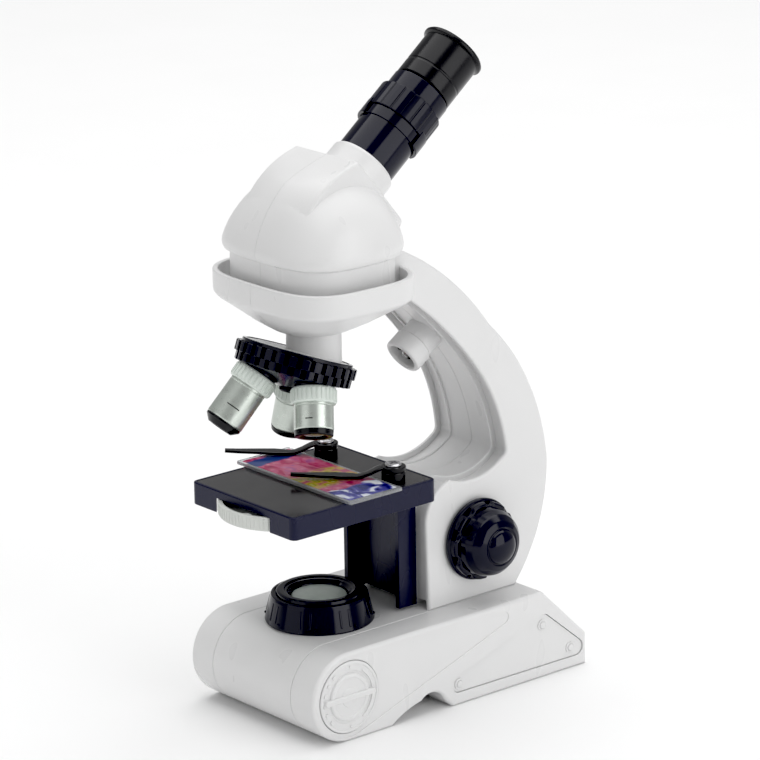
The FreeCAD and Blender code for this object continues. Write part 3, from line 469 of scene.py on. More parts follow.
def make_materials():
    """All of the object's materials by the name used below."""
    dim = {"specular_ior_level": 0.35}
    kit = {
        "white": moulded("white_plastic", (0.745, 0.745, 0.745), 0.32, 0.008, 0.0, 0.02),
        "navy": moulded("navy_gloss", (0.003, 0.0035, 0.014), 0.12, 0.10, 0.001, 0.02, **dim),
        "stage_navy": moulded("stage_navy", (0.008, 0.009, 0.034), 0.25, 0.06, 0.002, 0.02, **dim),
        "black": moulded("black_gloss", (0.004, 0.004, 0.006), 0.20, 0.10, 0.002, 0.02, **dim),
        "wheel": moulded("wheel_white", (0.68, 0.70, 0.67), 0.35, 0.015, 0.004, 0.015),
        "collar": moulded("collar_pale", (0.72, 0.78, 0.73), 0.34, 0.02, 0.004, 0.01),
        "cell": moulded("cell_skin", (0.05, 0.07, 0.13), 0.25, 0.05, 0.002, 0.01),
        "board": moulded("board_green", (0.02, 0.12, 0.05), 0.45, 0.05, 0.01, 0.01),
    }
    kit["plate"] = plate_film()
    kit["silver"] = satin_silver()
    kit["steel"] = bright_steel()
    kit["dark_steel"] = moulded("blackened_steel", (0.03, 0.03, 0.035), 0.35, 0.1, 0.003, 0.01,
                                metallic=0.8)
    kit["frosted"] = frosted_glass()
    kit["lens"] = clear_glass("lens_glass", (0.80, 0.86, 0.90))
    kit["lamp"] = clear_glass("lamp_glass", (0.95, 0.95, 0.92))
    kit["print"] = slide_print()
    kit["clear"] = clear_plastic()
    return kit


def plate_film():
    """Dark grey glossy film on the stage, a little hazy and scuffed by slides."""
    r = Recipe("stage_film", (0.035, 0.034, 0.037), 0.16, specular_ior_level=0.6)
    haze = r.noise(11, 4, (1, 0.4, 1), 0.8)
    r.colour(r.mix(r.spread(haze, 0, 1), (0.028, 0.027, 0.030), (0.044, 0.043, 0.045)))
    scuffs = r.noise(1.4, 6, (0.12, 1, 1), 0.4)
    r.roughness(r.maths("ADD", r.spread(scuffs, 0.10, 0.17), r.spread(haze, 0.0, 0.05)))
    r.bumps((r.noise(16, 1), 0.05), (r.noise(0.3, 2), 0.003))
    return r.material


def satin_silver():
    """Satin silver paint on the barrels, with a fine turned grain."""
    r = Recipe("satin_silver", (0.60, 0.645, 0.60), 0.30, metallic=0.85)
    fleck = r.noise(0.35, 3)
    r.colour(r.mix(r.spread(fleck, 0, 1), (0.57, 0.615, 0.57), (0.63, 0.675, 0.63)))
    r.roughness(r.spread(r.noise(2.5, 4), 0.26, 0.36))
    r.bumps((fleck, 0.004))
    return r.material


def bright_steel():
    """Plated screw heads with hairline marks."""
    r = Recipe("bright_steel", (0.62, 0.62, 0.64), 0.20, metallic=1.0)
    marks = r.noise(0.5, 4, (1, 0.15, 1))
    r.roughness(r.spread(marks, 0.14, 0.30))
    r.bumps((marks, 0.004))
    return r.material


def frosted_glass():
    """Pale grey-green diffuser over the base's lamp."""
    r = Recipe("frosted_lens", (0.60, 0.66, 0.61), 0.42, transmission_weight=0.15, coat_weight=0.3,
               coat_roughness=0.12)
    cloud = r.noise(4, 3)
    r.colour(r.mix(r.spread(cloud, 0, 1), (0.47, 0.53, 0.49), (0.53, 0.59, 0.55)))
    r.bumps((r.noise(0.5, 2), 0.01))
    return r.material


def clear_glass(name, colour):
    r = Recipe(name, colour, 0.04, transmission_weight=0.9, ior=1.49)
    r.bumps((r.noise(6, 1), 0.01))
    return r.material


def clear_plastic():
    """The slide's clear sheet: thin, glossy, with a few fine scratches."""
    r = Recipe("slide_sheet", (0.86, 0.88, 0.90), 0.07, transmission_weight=0.75, ior=1.46)
    r.bumps((r.noise(0.8, 5, (1, 0.08, 1)), 0.004))
    return r.material


def slide_print():
    """Printed specimen: magenta tissue, yellow cells in the middle, violet and white at the right."""
    r = Recipe("slide_print", (0.6, 0.1, 0.2), 0.18, specular_ior_level=0.4)
    tissue = r.ramp(r.noise(5, 3, (0.5, 1, 1), 1.2), (0.30, (0.16, 0.004, 0.05)),
                    (0.45, (0.42, 0.02, 0.10)), (0.56, (0.62, 0.16, 0.28)), (0.70, (0.30, 0.10, 0.32)))
    cells = r.add("ShaderNodeTexVoronoi", feature="F1")
    cells.inputs["Scale"].default_value = 0.30
    r.link(r.stretched((1, 1, 1)), cells, "Vector")
    walls = r.ramp(cells.outputs["Distance"], (0.0, (0.80, 0.62, 0.66)), (0.25, (0.60, 0.20, 0.30)),
                   (0.6, (0.45, 0.03, 0.12)))
    pink = r.mix(r.spread(r.noise(8, 2), 0.1, 0.6), tissue, walls)
    yolk = r.ramp(cells.outputs["Distance"], (0.0, (0.72, 0.66, 0.30)), (0.30, (0.36, 0.34, 0.02)),
                  (0.5, (0.60, 0.42, 0.10)), (0.8, (0.50, 0.12, 0.20)))
    body = r.mix(r.band(3.0, 9.0, 3.0), pink, yolk)
    violet = r.ramp(r.noise(6, 2, (1, 1, 1), 0.6), (0.40, (0.012, 0.02, 0.18)), (0.5, (0.10, 0.10, 0.40)),
                    (0.56, (0.72, 0.76, 0.90)), (0.70, (0.90, 0.91, 0.93)))
    ends = r.mix(r.band(22.5, 7.5, 1.5), body, violet)
    r.colour(r.mix(r.band(-23.5, 3.5, 1.0), ends, (0.03, 0.06, 0.22)))
    r.bumps((r.noise(8, 2), 0.02))
    return r.material


LOOK = make_materials()


# ------------------------------ base
BASE_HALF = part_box("rail_right")[1].x / MM
CORE_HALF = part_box("base_shell")[1].x / MM
BASE_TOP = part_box("base_shell")[1].z / MM
NOSE = (-14.0, 15.0)                       # centre of the rounded front, and its radius
SLOPE = 69.5
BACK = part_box("base_shell")[1].y / MM
BACK_TOP = 11.0
WALL = 2.2


def base_outline(depth=0.0):
    """Side view of the base from under the nose, over the top, to the back; depth moves it inwards."""
    nose_y, nose_radius = NOSE
    points = arc((nose_y, nose_radius), nose_radius - depth, 270, 90, 40)
    slope = [(nose_y, BASE_TOP - depth), (SLOPE - depth * 0.4, BASE_TOP - depth, 1.5),
             (BACK - depth, BACK_TOP - depth * 0.4, 1.5), (BACK - depth, 0)]
    return points + eased(slope, closed=False)[1:]


def base_centre():
    """Centre shell, open below where the floor sits."""
    outer = base_outline()
    inner = base_outline(WALL)
    floor_edge = -11.0
    outline = [(floor_edge, 0.0)] + outer + [(BACK - WALL, 0)] + inner[::-1][1:] + [(floor_edge, WALL)]
    shell = prism("base_centre", outline, 0.05 - CORE_HALF, CORE_HALF - 0.05, (0.35, 0.35), SIDE)
    set_up(shell, LOOK["white"], "base", ["base_shell"])


COVER_CORNERS = [(32.6, 7.2), (69.6, 19.2), (84.4, 6.8)]
COVER_PINS = [(32.6, 7.2), (69.2, 18.4), (81.8, 7.4)]
DIAL_RADIUS = 12.0


def rounded_triangle(radius):
    """Outline of the side cover: an arc of the radius about each corner."""
    points = []
    count = len(COVER_CORNERS)
    for i, corner in enumerate(COVER_CORNERS):
        here = Vector(corner)
        before, after = Vector(COVER_CORNERS[i - 1]), Vector(COVER_CORNERS[(i + 1) % count])
        first = math.degrees(math.atan2(*(before - here).yx)) - 90
        last = math.degrees(math.atan2(*(after - here).yx)) + 90
        while last > first:
            last -= 360
        points += arc(corner, radius, first, last, 12)
    return points


def teardrop():
    """Outline of the shallow field from round the dial back to a small round end."""
    nose = Vector(NOSE)
    end = Vector((52.0, 25.2))
    big, small = 13.6, 2.2
    axis = end - nose
    lean = math.degrees(math.atan2(axis.y, axis.x))
    flare = math.degrees(math.acos((big - small) / axis.length))
    return (arc(nose, big, lean + flare, lean + 360 - flare, 60)
            + arc(end, small, lean - flare, lean + flare, 14))


def rail_outline():
    """Side view of a rail: the base's outline with the arch cut into its underside."""
    shoulder, foot = (26.5, 3.2), (16.5, 5.2)
    swell = arc_through(shoulder, (22.0, 6.9), foot, 10) + arc_through(foot, (11.6, 3.9), (4.0, 0.0), 10)
    return base_outline() + [Vector((29.8, 0)), shoulder] + swell


def rail(side):
    """Side rail with its dial seat, the sunk seat of the cover and the shallow teardrop field."""
    solid = prism("rail", rail_outline(), CORE_HALF + 0.05, BASE_HALF, (0.35, 1.3), SIDE, 6)
    beyond, depth, sharp = BASE_HALF + 2, BASE_HALF - 1.3, (0, 0)
    seat = prism("seat", arc(NOSE, DIAL_RADIUS + 0.25, 0, 355, 71), depth, beyond, sharp, SIDE)
    sink = prism("sink", rounded_triangle(3.0), depth, beyond, sharp, SIDE)
    field = prism("field", teardrop(), BASE_HALF - 0.22, beyond, sharp, SIDE)
    carved(solid, [field, seat, sink])
    sided(solid, side, "side_rail_")
    set_up(solid, LOOK["white"], "base", ["rail_" + SIDES[side]], bevel=0.12, smooth=28)


def side_cover(side):
    """Three-cornered cover with a low boss and a pin at each corner."""
    far = BASE_HALF
    parts = [prism("plate", rounded_triangle(2.85), far - 1.3, far - 0.45, (0, 0.25), SIDE)]
    boss = [(0, far - 1.2), (1.9, far - 1.2), (1.9, far - 0.12), (1.75, far), (1.35, far),
            (1.28, far - 0.2), (0, far - 0.2)]
    for pin in COVER_PINS:
        parts.append(lathe("boss", boss, SIDE @ at(*pin, 0), 40, closed=False))
    cover = sided(joined("cover", parts), side, "triangle_cover_")
    set_up(cover, LOOK["white"], "base", ["side_cover_" + SIDES[side]])


def cover_pins():
    """Round pin heads in the covers' bosses."""
    far = BASE_HALF
    head = [(0, far - 0.4), (1.2, far - 0.4), (1.2, far + 0.1), (1.0, far + 0.3), (0.5, far + 0.38),
            (0, far + 0.4)]
    parts = []
    for side in SIDES:
        for pin in COVER_PINS:
            parts.append(sided(lathe("pin", head, SIDE @ at(*pin, 0), 32, closed=False), side, "pin_"))
    pins = joined("cover_pins", parts)
    set_up(pins, LOOK["white"], "base", ["side_cover_screws"])


def dial(side):
    """Selector dial: stepped rings, a grip bar, toothed marks on one side and two pips."""
    radius = DIAL_RADIUS
    place = SIDE @ at(NOSE[0], NOSE[1], BASE_HALF - 1.25)
    plate = [(0, 0), (radius - 0.1, 0), (radius, 0.15), (radius, 1.25), (radius - 0.25, 1.5),
             (radius - 0.9, 1.5), (radius - 1.1, 1.2), (radius * 0.74, 1.2), (radius * 0.71, 0.95),
             (radius * 0.67, 0.95), (radius * 0.65, 1.5), (radius * 0.62, 1.72), (radius * 0.56, 1.72),
             (radius * 0.53, 1.5), (radius * 0.28, 1.5), (radius * 0.26, 1.68), (radius * 0.10, 1.72),
             (0, 1.72)]
    plate = eased([(*point, 0.12) for point in plate], 3, closed=False)
    parts = [lathe("plate", plate, place, 120, closed=False)]
    bar = rounded_box(-radius * 0.86, radius * 0.86, -1.0, 1.0, 0.9, 6)
    parts.append(prism("bar", bar, 1.0, 2.35, (0, 0.5), place))
    pip = [(0, 1.1), (0.42, 1.1), (0.42, 1.35), (0.3, 1.5), (0, 1.55)]
    for angle in (math.radians(88), math.radians(-88)):
        spot = at(radius * 0.84 * math.cos(angle), radius * 0.84 * math.sin(angle), 0)
        parts.append(lathe("pip", pip, place @ spot, 20, closed=False))
    notch = wedge((radius * 0.80, 0.75), (radius * 0.895, 0.6), 0.3, 0.3)
    for step in range(6):
        parts.append(prism("notch", notch, 1.0, 1.55, (0, 0.15), place @ about("Z", 128 + step * 19)))
    for middle in (32, -32):
        rib = arc((0, 0), radius * 0.80, middle - 24, middle + 24)
        rib += arc((0, 0), radius * 0.765, middle + 24, middle - 24)
        parts.append(prism("rib", rib, 1.0, 1.6, (0, 0.12), place))
    knob = sided(joined("dial", parts), side, "selector_dial_")
    set_up(knob, LOOK["white"], "selector", ["dial_" + SIDES[side]])


# ------------------------------ lamp in the base
def illuminator():
    """Glossy cone with stepped rings on top, grip ribs and pips, and its frosted lens."""
    place = at(0, 0, BASE_TOP)
    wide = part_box("illuminator_ring")[1].x / MM
    cone = [(11.6, -2.2), (11.6, 0.02), (wide - 0.1, 0.02, 0.2), (wide, 0.5, 0.3), (wide - 0.15, 1.1, 0.3),
            (16.0, 8.1, 0.5), (15.7, 9.0, 0.4), (14.9, 9.15, 0.3), (14.7, 8.7, 0.2), (14.2, 8.7, 0.2),
            (13.9, 9.9, 0.4), (13.2, 10.2, 0.5), (11.6, 10.2, 0.5), (11.2, 9.6, 0.3), (10.6, 9.5, 0.2),
            (10.2, 9.0, 0.3), (9.4, 8.4, 0.3), (9.1, 7.2, 0.2), (8.2, 7.0), (8.0, 2.0), (9.8, -2.2)]
    parts = [lathe("cone", eased(cone, 4), place, 128)]
    slant = math.degrees(math.atan2(wide - 16.0, 7.0))
    rib = wedge((-0.5, 0.42), (0.45, 0.42), 0.2, 0.3, 4)
    pip = [(0, -0.55), (0.35, -0.4), (0.55, 0), (0.35, 0.4), (0, 0.55)]
    for angle in range(-100, 260, 45):
        turn = place @ about("Z", angle) @ at(wide - 0.35, 0, 0.9) @ about("Y", -slant)
        for shift in (-1.6, 1.6):
            parts.append(prism("rib", rib, 0.8, 6.7, (0.3, 0.3), turn @ at(0, shift, 0)))
        parts.append(lathe("pip", pip, turn @ at(-0.1, 3.4, 0.9), 16, closed=False))
    ring = joined("illuminator_cone", parts)
    set_up(ring, LOOK["navy"], "illuminator", ["illuminator_ring"])
    glass = [(0, 7.1), (9.0, 7.1), (9.0, 7.9)] + crown(9.0, 7.9, 1.1)
    turned("illuminator_glass", glass, place, "frosted", "illuminator", ["illuminator_lens"],
           closed=False)


# ------------------------------ arm and cup
ARM_LOW = 20.0                             # half of the arm's width at the base
ARM_SLOPE = 4.6 / 125                      # how much narrower it gets per mm upwards


def arm_half_width(z):
    return ARM_LOW - (z - BASE_TOP) * ARM_SLOPE


def arm_outline():
    """Side view of the arm: the curved inner edge, the top behind the cup and the round back."""
    points = [(30.0, BASE_TOP), (30.0, 60.0)]
    points += arc_through((30.0, 60.0), (34.2, 68.6), (41.0, 72.0), 14)
    points += arc_through((41.0, 72.0), (52.8, 70.2), (64.0, 74.6), 20)
    points += arc_through((64.0, 74.6), (65.3, 75.7), (65.6, 77.6), 6)
    points += arc_through((65.6, 77.6), (61.4, 93.8), (54.5, 106.6), 24)
    points += arc_through((54.5, 106.6), (42.6, 120.9), (26.0, 135.5), 24)
    points += [(16.0, 138.6), (16.0, 150.0), (22.0, 152.9)]
    points += arc_through((22.0, 152.9), (43.5, 139.0), (60.3, 120.5), 24)
    points += arc_through((60.3, 120.5), (77.4, 96.2), (83.7, 70.5), 24)
    points += arc_through((83.7, 70.5), (80.4, 51.8), (67.6, BASE_TOP), 24)
    return points


def arm(side):
    """Half of the arm: outer skin, a groove along its inner edge, and a thin lip beside the inner face."""
    outline = arm_outline()
    layers = [
        ("skin", 0.0, ARM_LOW - 1.6, ARM_LOW, (0.1, 0.9)),
        ("groove", -2.0, 0.04, ARM_LOW - 1.3, (0.15, 0)),
        ("lip", 0.0, 10.7, 11.8, (0.25, 0.35)),
        ("face", -0.7, 0.04, 10.9, (0.3, 0)),
    ]
    parts = []
    for label, inset, low, high, rim in layers:
        part = prism(label, offset(outline, inset), low, high, rim, SIDE, 5)
        for vertex in part.data.vertices:
            vertex.co.x *= arm_half_width(vertex.co.z / MM) / ARM_LOW
        parts.append(part)
    return sided(joined("arm", parts), side, "arm_side_")


def squircle(half_x, half_y, z, power=4.0, count=120, side=0):
    """Superellipse as a ring; side keeps one half of it, closed on the middle plane."""
    ring = []
    for step in range(count):
        angle = 2 * math.pi * step / count if not side else math.pi * (step / (count - 1) - 0.5)
        c, s = math.cos(angle), math.sin(angle)
        reach = superellipse(c, s, half_x, half_y, power)
        x = max(reach * c, 0.03) if side else reach * c
        ring.append(Vector((x * (side or 1), reach * s, z)))
    return ring


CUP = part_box("arm_right")[1].x / MM        # half of the cup's width
CUP_DEPTH = -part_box("arm_right")[0].y / MM


def cup(side):
    """Half of the cup under the head: funnel, rounded underside, wall, rim and inside."""
    neck, power = 8.95, 3.4
    funnel = [(neck, neck, 127.4, 2), (9.5, 9.5, 127.45, 2), (11.0, 11.0, 127.9, 2), (13.2, 13.1, 128.8, 2.1),
              (16.2, 15.4, 130.3, 2.3), (19.4, 17.6, 132.0, 2.6), (22.4, 19.5, 133.9, 2.9),
              (25.4, 21.5, 135.8, 3.2), (28.0, 23.3, 137.4, power), (29.3, 24.2, 138.2, power),
              (CUP - 0.7, CUP_DEPTH - 0.5, 138.9, power), (CUP - 0.2, CUP_DEPTH - 0.15, 139.6, power)]
    wall = [(0, 140.6), (0, 146.3), (0.15, 146.75), (0.55, 147), (1.1, 147), (1.5, 146.75), (1.65, 146.3),
            (1.8, 142.6), (2.3, 141.5), (3.4, 141.0)]
    inside = [(14, 14, 141.0, 2), (neck, neck, 141.0, 2)]
    sections = funnel + [(CUP - inset, CUP_DEPTH - inset, z, power) for inset, z in wall] + inside
    rings = [squircle(half_x, half_y, z, power, 90, side) for half_x, half_y, z, power in sections]
    return mesh_object("cup", *tube_of_rings(rings, caps=False, closed=False))


def arm_and_cup():
    for side, name in SIDES.items():
        half = joined("arm_" + name + "_half", [arm(side), cup(side)])
        set_up(half, LOOK["white"], "base", ["arm_" + name], smooth=34)


SPOT_BACK = (0, 48.2, 118.2)               # where the spot lamp's barrel starts, inside the arm
SPOT_TIP = 33.5                            # degrees that the barrel points down


def spot_lamp():
    """White barrel on the arm's inner face with a clear lamp behind a stepped mouth."""
    place = at(*SPOT_BACK, about("X", 90 + SPOT_TIP))
    barrel = [(2.7, 0), (6.2, 0), (6.2, 7.4, 0.3), (6.6, 7.9, 0.3), (6.6, 12.9, 0.3), (6.4, 13.7, 0.4),
              (5.7, 14.0, 0.4), (5.2, 13.9, 0.3), (4.9, 13.2, 0.3), (4.8, 9.4, 0.2), (3.5, 9.2, 0.2),
              (3.4, 8.2, 0.1), (2.7, 8)]
    turned("spot_barrel", barrel, place, "white", "base", ["spot_lamp_housing"], 5)
    bulb = [(0, 6.6), (2.55, 6.6), (2.55, 7.4), (2.35, 7.5), (2.35, 10.6)] + crown(2.35, 10.6, 2.3)
    turned("spot_bulb", bulb, place, "lamp", "base", ["spot_lamp_led"], steps=64, closed=False)
    reflector = [(0, 7.2), (1.5, 7.2), (1.7, 8.6), (1.5, 8.6), (1.2, 7.8), (0, 7.7)]
    turned("spot_reflector", reflector, place, "steel", "base", steps=40, closed=False)
    tooth = wedge((3.3, 0.42), (4.7, 0.55), 0.1, 0.1)
    teeth = [prism("tooth", tooth, 9.3, 11.2, (0.1, 0.3), place @ about("Z", turn))
             for turn in range(0, 360, 30)]
    set_up(joined("spot_lamp_catches", teeth), LOOK["black"], "base")


# ------------------------------ head
EYEPIECE_PLACE = at(0, 0, 160, about("X", -51))    # the eyepiece's axis leans back by 51 degrees
DOME = (28.9, 23.7, 23.4, 27.6)            # half width, depth to the front and to the back, rise
DOME_LOW = 153.0
DOME_LEAN = 2.9                            # how far the dome's top sits behind the middle of its foot
SQUARENESS = (3.2, 2.0)                    # power of the plan's outline at the foot and at the top
RIDGE_HALF = 15.6
RIDGE_BULGE = 3.1                          # how far the housing's front bows out in the middle
SEAM = 0.04                                # half of the gap between the two halves


def ridge_outline(rounded=True):
    """Side view of the prism housing that rides over the dome."""
    crest = [(-16.2, 166.0), (-13.3, 170.6)]
    crest += arc_through((-13.3, 170.6), (-3.6, 179.3), (5.6, 183.1), 30 if rounded else 8)
    corners = [crest[-1], (6.9, 183.6, 1.2), (24.8, 161.5, 2.0), (20.0, 152.0)]
    if rounded:
        return [Vector(p) for p in [(-14.0, 152.0)] + crest[:-1]] + eased(corners, 6, closed=False)
    return [Vector(p[:2]) for p in [(-14.0, 152.0)] + crest[:-1] + corners[1:]]


def housing(rim=0.8):
    """Prism housing: its front bows out in the middle, its side edges are rounded by the rim."""
    outline = ridge_outline()
    angles = [math.radians(15 * s) for s in range(7)]
    ends = [(RIDGE_HALF - rim * (1 - math.sin(a)), rim * (1 - math.cos(a))) for a in angles]
    flat = [(x, 0.0) for x in range(-12, 13, 3)]
    rings = []
    for x, inset in [(-x, inset) for x, inset in reversed(ends)] + flat + ends:
        ring = []
        for y, z in offset(outline, -inset):
            fade = min(1.0, max(0.0, (182.6 - z) / 6))
            bow = RIDGE_BULGE * (1 - (x / RIDGE_HALF) ** 2) * fade * fade * (3 - 2 * fade)
            ring.append(Vector((x, y - bow if y < 4 else y, z)))
        rings.append(ring)
    return mesh_object("housing", *tube_of_rings(rings))


def dome_solid(shrink=0.0):
    """Dome on a rounded-square plan that leans back; its lower edge is rolled inwards."""
    half_x, front, back, rise = DOME
    foot, top = SQUARENESS
    rings = []
    for level in range(45):
        lift = math.radians(89 * level / 44)
        height = (rise - 1.4 * shrink) * math.sin(lift)
        roll = max(0.0, 1 - height / 4.6)
        inwards = 3.0 * (1 - math.sqrt(max(0.0, 1 - roll * roll)))
        power = foot + (top - foot) * math.sin(lift)
        sizes = [(size - shrink) * math.cos(lift) - inwards for size in (half_x, front, back)]
        ring = []
        for step in range(160):
            c, s = math.cos(math.pi * step / 80), math.sin(math.pi * step / 80)
            depth = sizes[1] if s < 0 else sizes[2]
            reach = superellipse(c, s, sizes[0], depth, power)
            y = reach * s + DOME_LEAN * math.sin(lift)
            ring.append(Vector((reach * c, y, DOME_LOW + 0.7 * shrink + height)))
        rings.append(ring)
    return mesh_object("dome", *tube_of_rings(rings))


def squircle_block(half_x, half_y, low, high):
    """Upright rounded-square column."""
    rings = [squircle(half_x, half_y, z, SQUARENESS[0], 160) for z in (low, high)]
    return mesh_object("column", *tube_of_rings(rings))


def head():
    """Hollow dome, the prism housing that rides over it, and the skirt below, parted down the middle."""
    skirt = squircle_block(25.6, 21.0, 141.1, DOME_LOW + 2)
    shell = carved(dome_solid(), [housing(), skirt], "UNION")
    inside = RIDGE_HALF - 2
    carved(shell, [
        dome_solid(2.2),
        prism("inside", offset(ridge_outline(False), -2.0), -inside, inside, (0, 0), SIDE),
        squircle_block(23.6, 19.0, 140, DOME_LOW + 3),
        prism("tube", disc(11.25, steps=96), 13, 60, (0, 0), EYEPIECE_PLACE)])
    far = 60
    for side, name in SIDES.items():
        half = joined("head_" + name + "_half", [linked("half", shell.data.copy())])
        away = [Vector((side * x, y)) for x, y in ((-far, -far), (SEAM, -far), (SEAM, far), (-far, far))]
        carved(half, [prism("away", away, 100, 250, (0, 0))])
        set_up(half, LOOK["white"], "base", ["head_" + name], smooth=26)
    bpy.data.objects.remove(shell)


# ------------------------------ eyepiece
def eyepiece():
    """Collar, tube, ribbed ring, draw tube, cup and lens, each turned about the leaning axis."""
    place = EYEPIECE_PLACE
    collar = [(10.22, 13), (11.35, 13), (11.3, 20, 3), (11.2, 27.4, 0.5), (10.6, 28.3, 0.5), (10.22, 28.3)]
    turned("eyepiece_white_collar", collar, place, "white", "base", ["eyepiece_collar"], 5)
    tube = [(8.6, 14), (10.2, 14), (10.2, 59.3, 0.3), (9.9, 59.6, 0.2), (8.6, 59.6)]
    turned("eyepiece_navy_tube", tube, place, "navy", "base", ["eyepiece_tube"], steps=128)
    barrel = [(7.4, 34), (8.54, 34), (8.54, 59.9), (9.9, 59.9, 0.3), (10.0, 60.4, 0.3), (10.0, 64.9, 0.2),
              (9.88, 65.2, 0.2), (9.88, 65.6, 0.2), (10.0, 65.9, 0.2), (10.0, 74.1), (7.4, 74.1)]
    turned("draw_tube_barrel", barrel, place, "black", "draw_tube", ["eyepiece_barrel"],
           steps=128)
    eye_cup = [(7.4, 74.05), (9.98, 74.05), (9.98, 76.0, 0.4), (10.95, 76.45, 0.4), (11.0, 77.3, 0.5),
               (10.4, 78.0, 0.4), (9.6, 78.0, 0.3), (8.9, 76.9, 0.8), (6.9, 75.4, 0.4), (6.9, 74.8)]
    turned("eye_cup", eye_cup, place, "black", "draw_tube", ["eyepiece_cup"], 5, 128)
    glass = [(0, 71.3), (7.35, 71.3), (7.35, 72.4)] + crown(7.35, 72.4, 1.4)
    turned("eyepiece_glass", glass, place, "lens", "draw_tube", ["eye_lens"], closed=False)
    ring_grip(place)


def ring_grip(place):
    """Ribbed ring: wide ribs round its upper part, a low skirt and two thumb lugs on the skirt."""
    ribs = prism("ribs", gear(18, 10.95, 11.35, 0.86, 9, 0.15), 44.6, 53.7, (0.3, 0.35), place)
    skirt = eased([(10.26, 40.8), (10.6, 40.8, 0.2), (10.65, 45.0), (10.26, 45.0)], 3)
    skirt = lathe("skirt", skirt, place, 128)
    lugs = []
    for middle in (42, 222):
        outline = arc((0, 0), 11.5, middle - 31, middle + 31, 20)
        outline += arc((0, 0), 10.3, middle + 31, middle - 31, 20)
        lugs.append(prism("lug", outline, 40.5, 46.5, (0.35, 0.35), place))
    grip = joined("ribbed_ring", [ribs, skirt] + lugs)
    set_up(grip, LOOK["navy"], "eyepiece_ring", ["eyepiece_grip"])


# ------------------------------ nosepiece and objectives
APEX = 138.5                               # height where the turret's axis crosses the optical axis
TURRET_TILT = 21.1
TURRET_PHASE = 4.8                         # the front objective stands a little past the optical axis
SEAT = 30.0                                # distance from the apex to the seats of the objectives
TIP_OVERLAP = 1.1                          # how far the silver sleeve reaches down over the black tip


def turret_place(turn=0):
    return at(0, 0, APEX, about("X", -TURRET_TILT)) @ about("Z", turn)


def nosepiece():
    """White neck and the slanted plate it ends in."""
    neck = lathe("neck", [(4.2, 112.2), (8.9, 112.2), (8.9, 150.1), (4.2, 150.1)])
    plate = eased([(1.5, -18.9), (16.4, -18.9, 0.1), (16.4, -18.3, 0.2), (1.5, -18.3)], 4)
    plate = lathe("plate", plate, turret_place())
    below = prism("below", rounded_box(-40, 40, -40, 40, 0), -60, -18.85, (0, 0), turret_place())
    carved(neck, [below])
    set_up(joined("nosepiece_body", [neck, plate]), LOOK["white"], "base", ["nosepiece_neck"])


def turret():
    """Navy wheel with two tiers of blocky teeth and a boss for each objective."""
    place = turret_place(TURRET_PHASE)
    upper = prism("upper", gear(30, 18.1, 19.85, 0.70), -22.7, -19.25, (0.2, 0.35), place)
    rim = eased([(16.8, -19.4), (18.2, -19.4), (18.2, -18.1, 0.4), (16.8, -18.1, 0.4)], 4)
    rim = lathe("rim", rim, place)
    lower = prism("lower", gear(30, 17.3, 19.0, 0.62, 6), -25.6, -22.6, (0.35, 0.1), place)
    cone = [(1.56, -30.3), (3.6, -30.3, 0.4), (8.5, -28.6, 2), (17.6, -25.5, 0.6), (17.6, -23), (1.56, -23)]
    cone = lathe("cone", eased(cone, 5), place)
    boss = eased([(4.25, -SEAT), (6.3, -SEAT, 0.3), (6.5, -23.6), (4.25, -23.6)], 4)
    bosses = [lathe("boss", boss, place @ about("Z", turn) @ about("Y", -TURRET_TILT), 64)
              for turn in (0, 120, 240)]
    wheel = joined("turret_body", [upper, rim, lower, cone] + bosses)
    set_up(wheel, LOOK["navy"], "turret", ["turret_wheel"])
    pivot = [(0, -31.8), (2.3, -31.8, 0.3), (2.9, -31.3, 0.3), (2.9, -30.5), (1.5, -30.5), (1.5, -16),
             (0, -16)]
    turned("turret_screw", pivot, turret_place(), "dark_steel", "base", ["turret_pivot"],
           3, 48, closed=False)


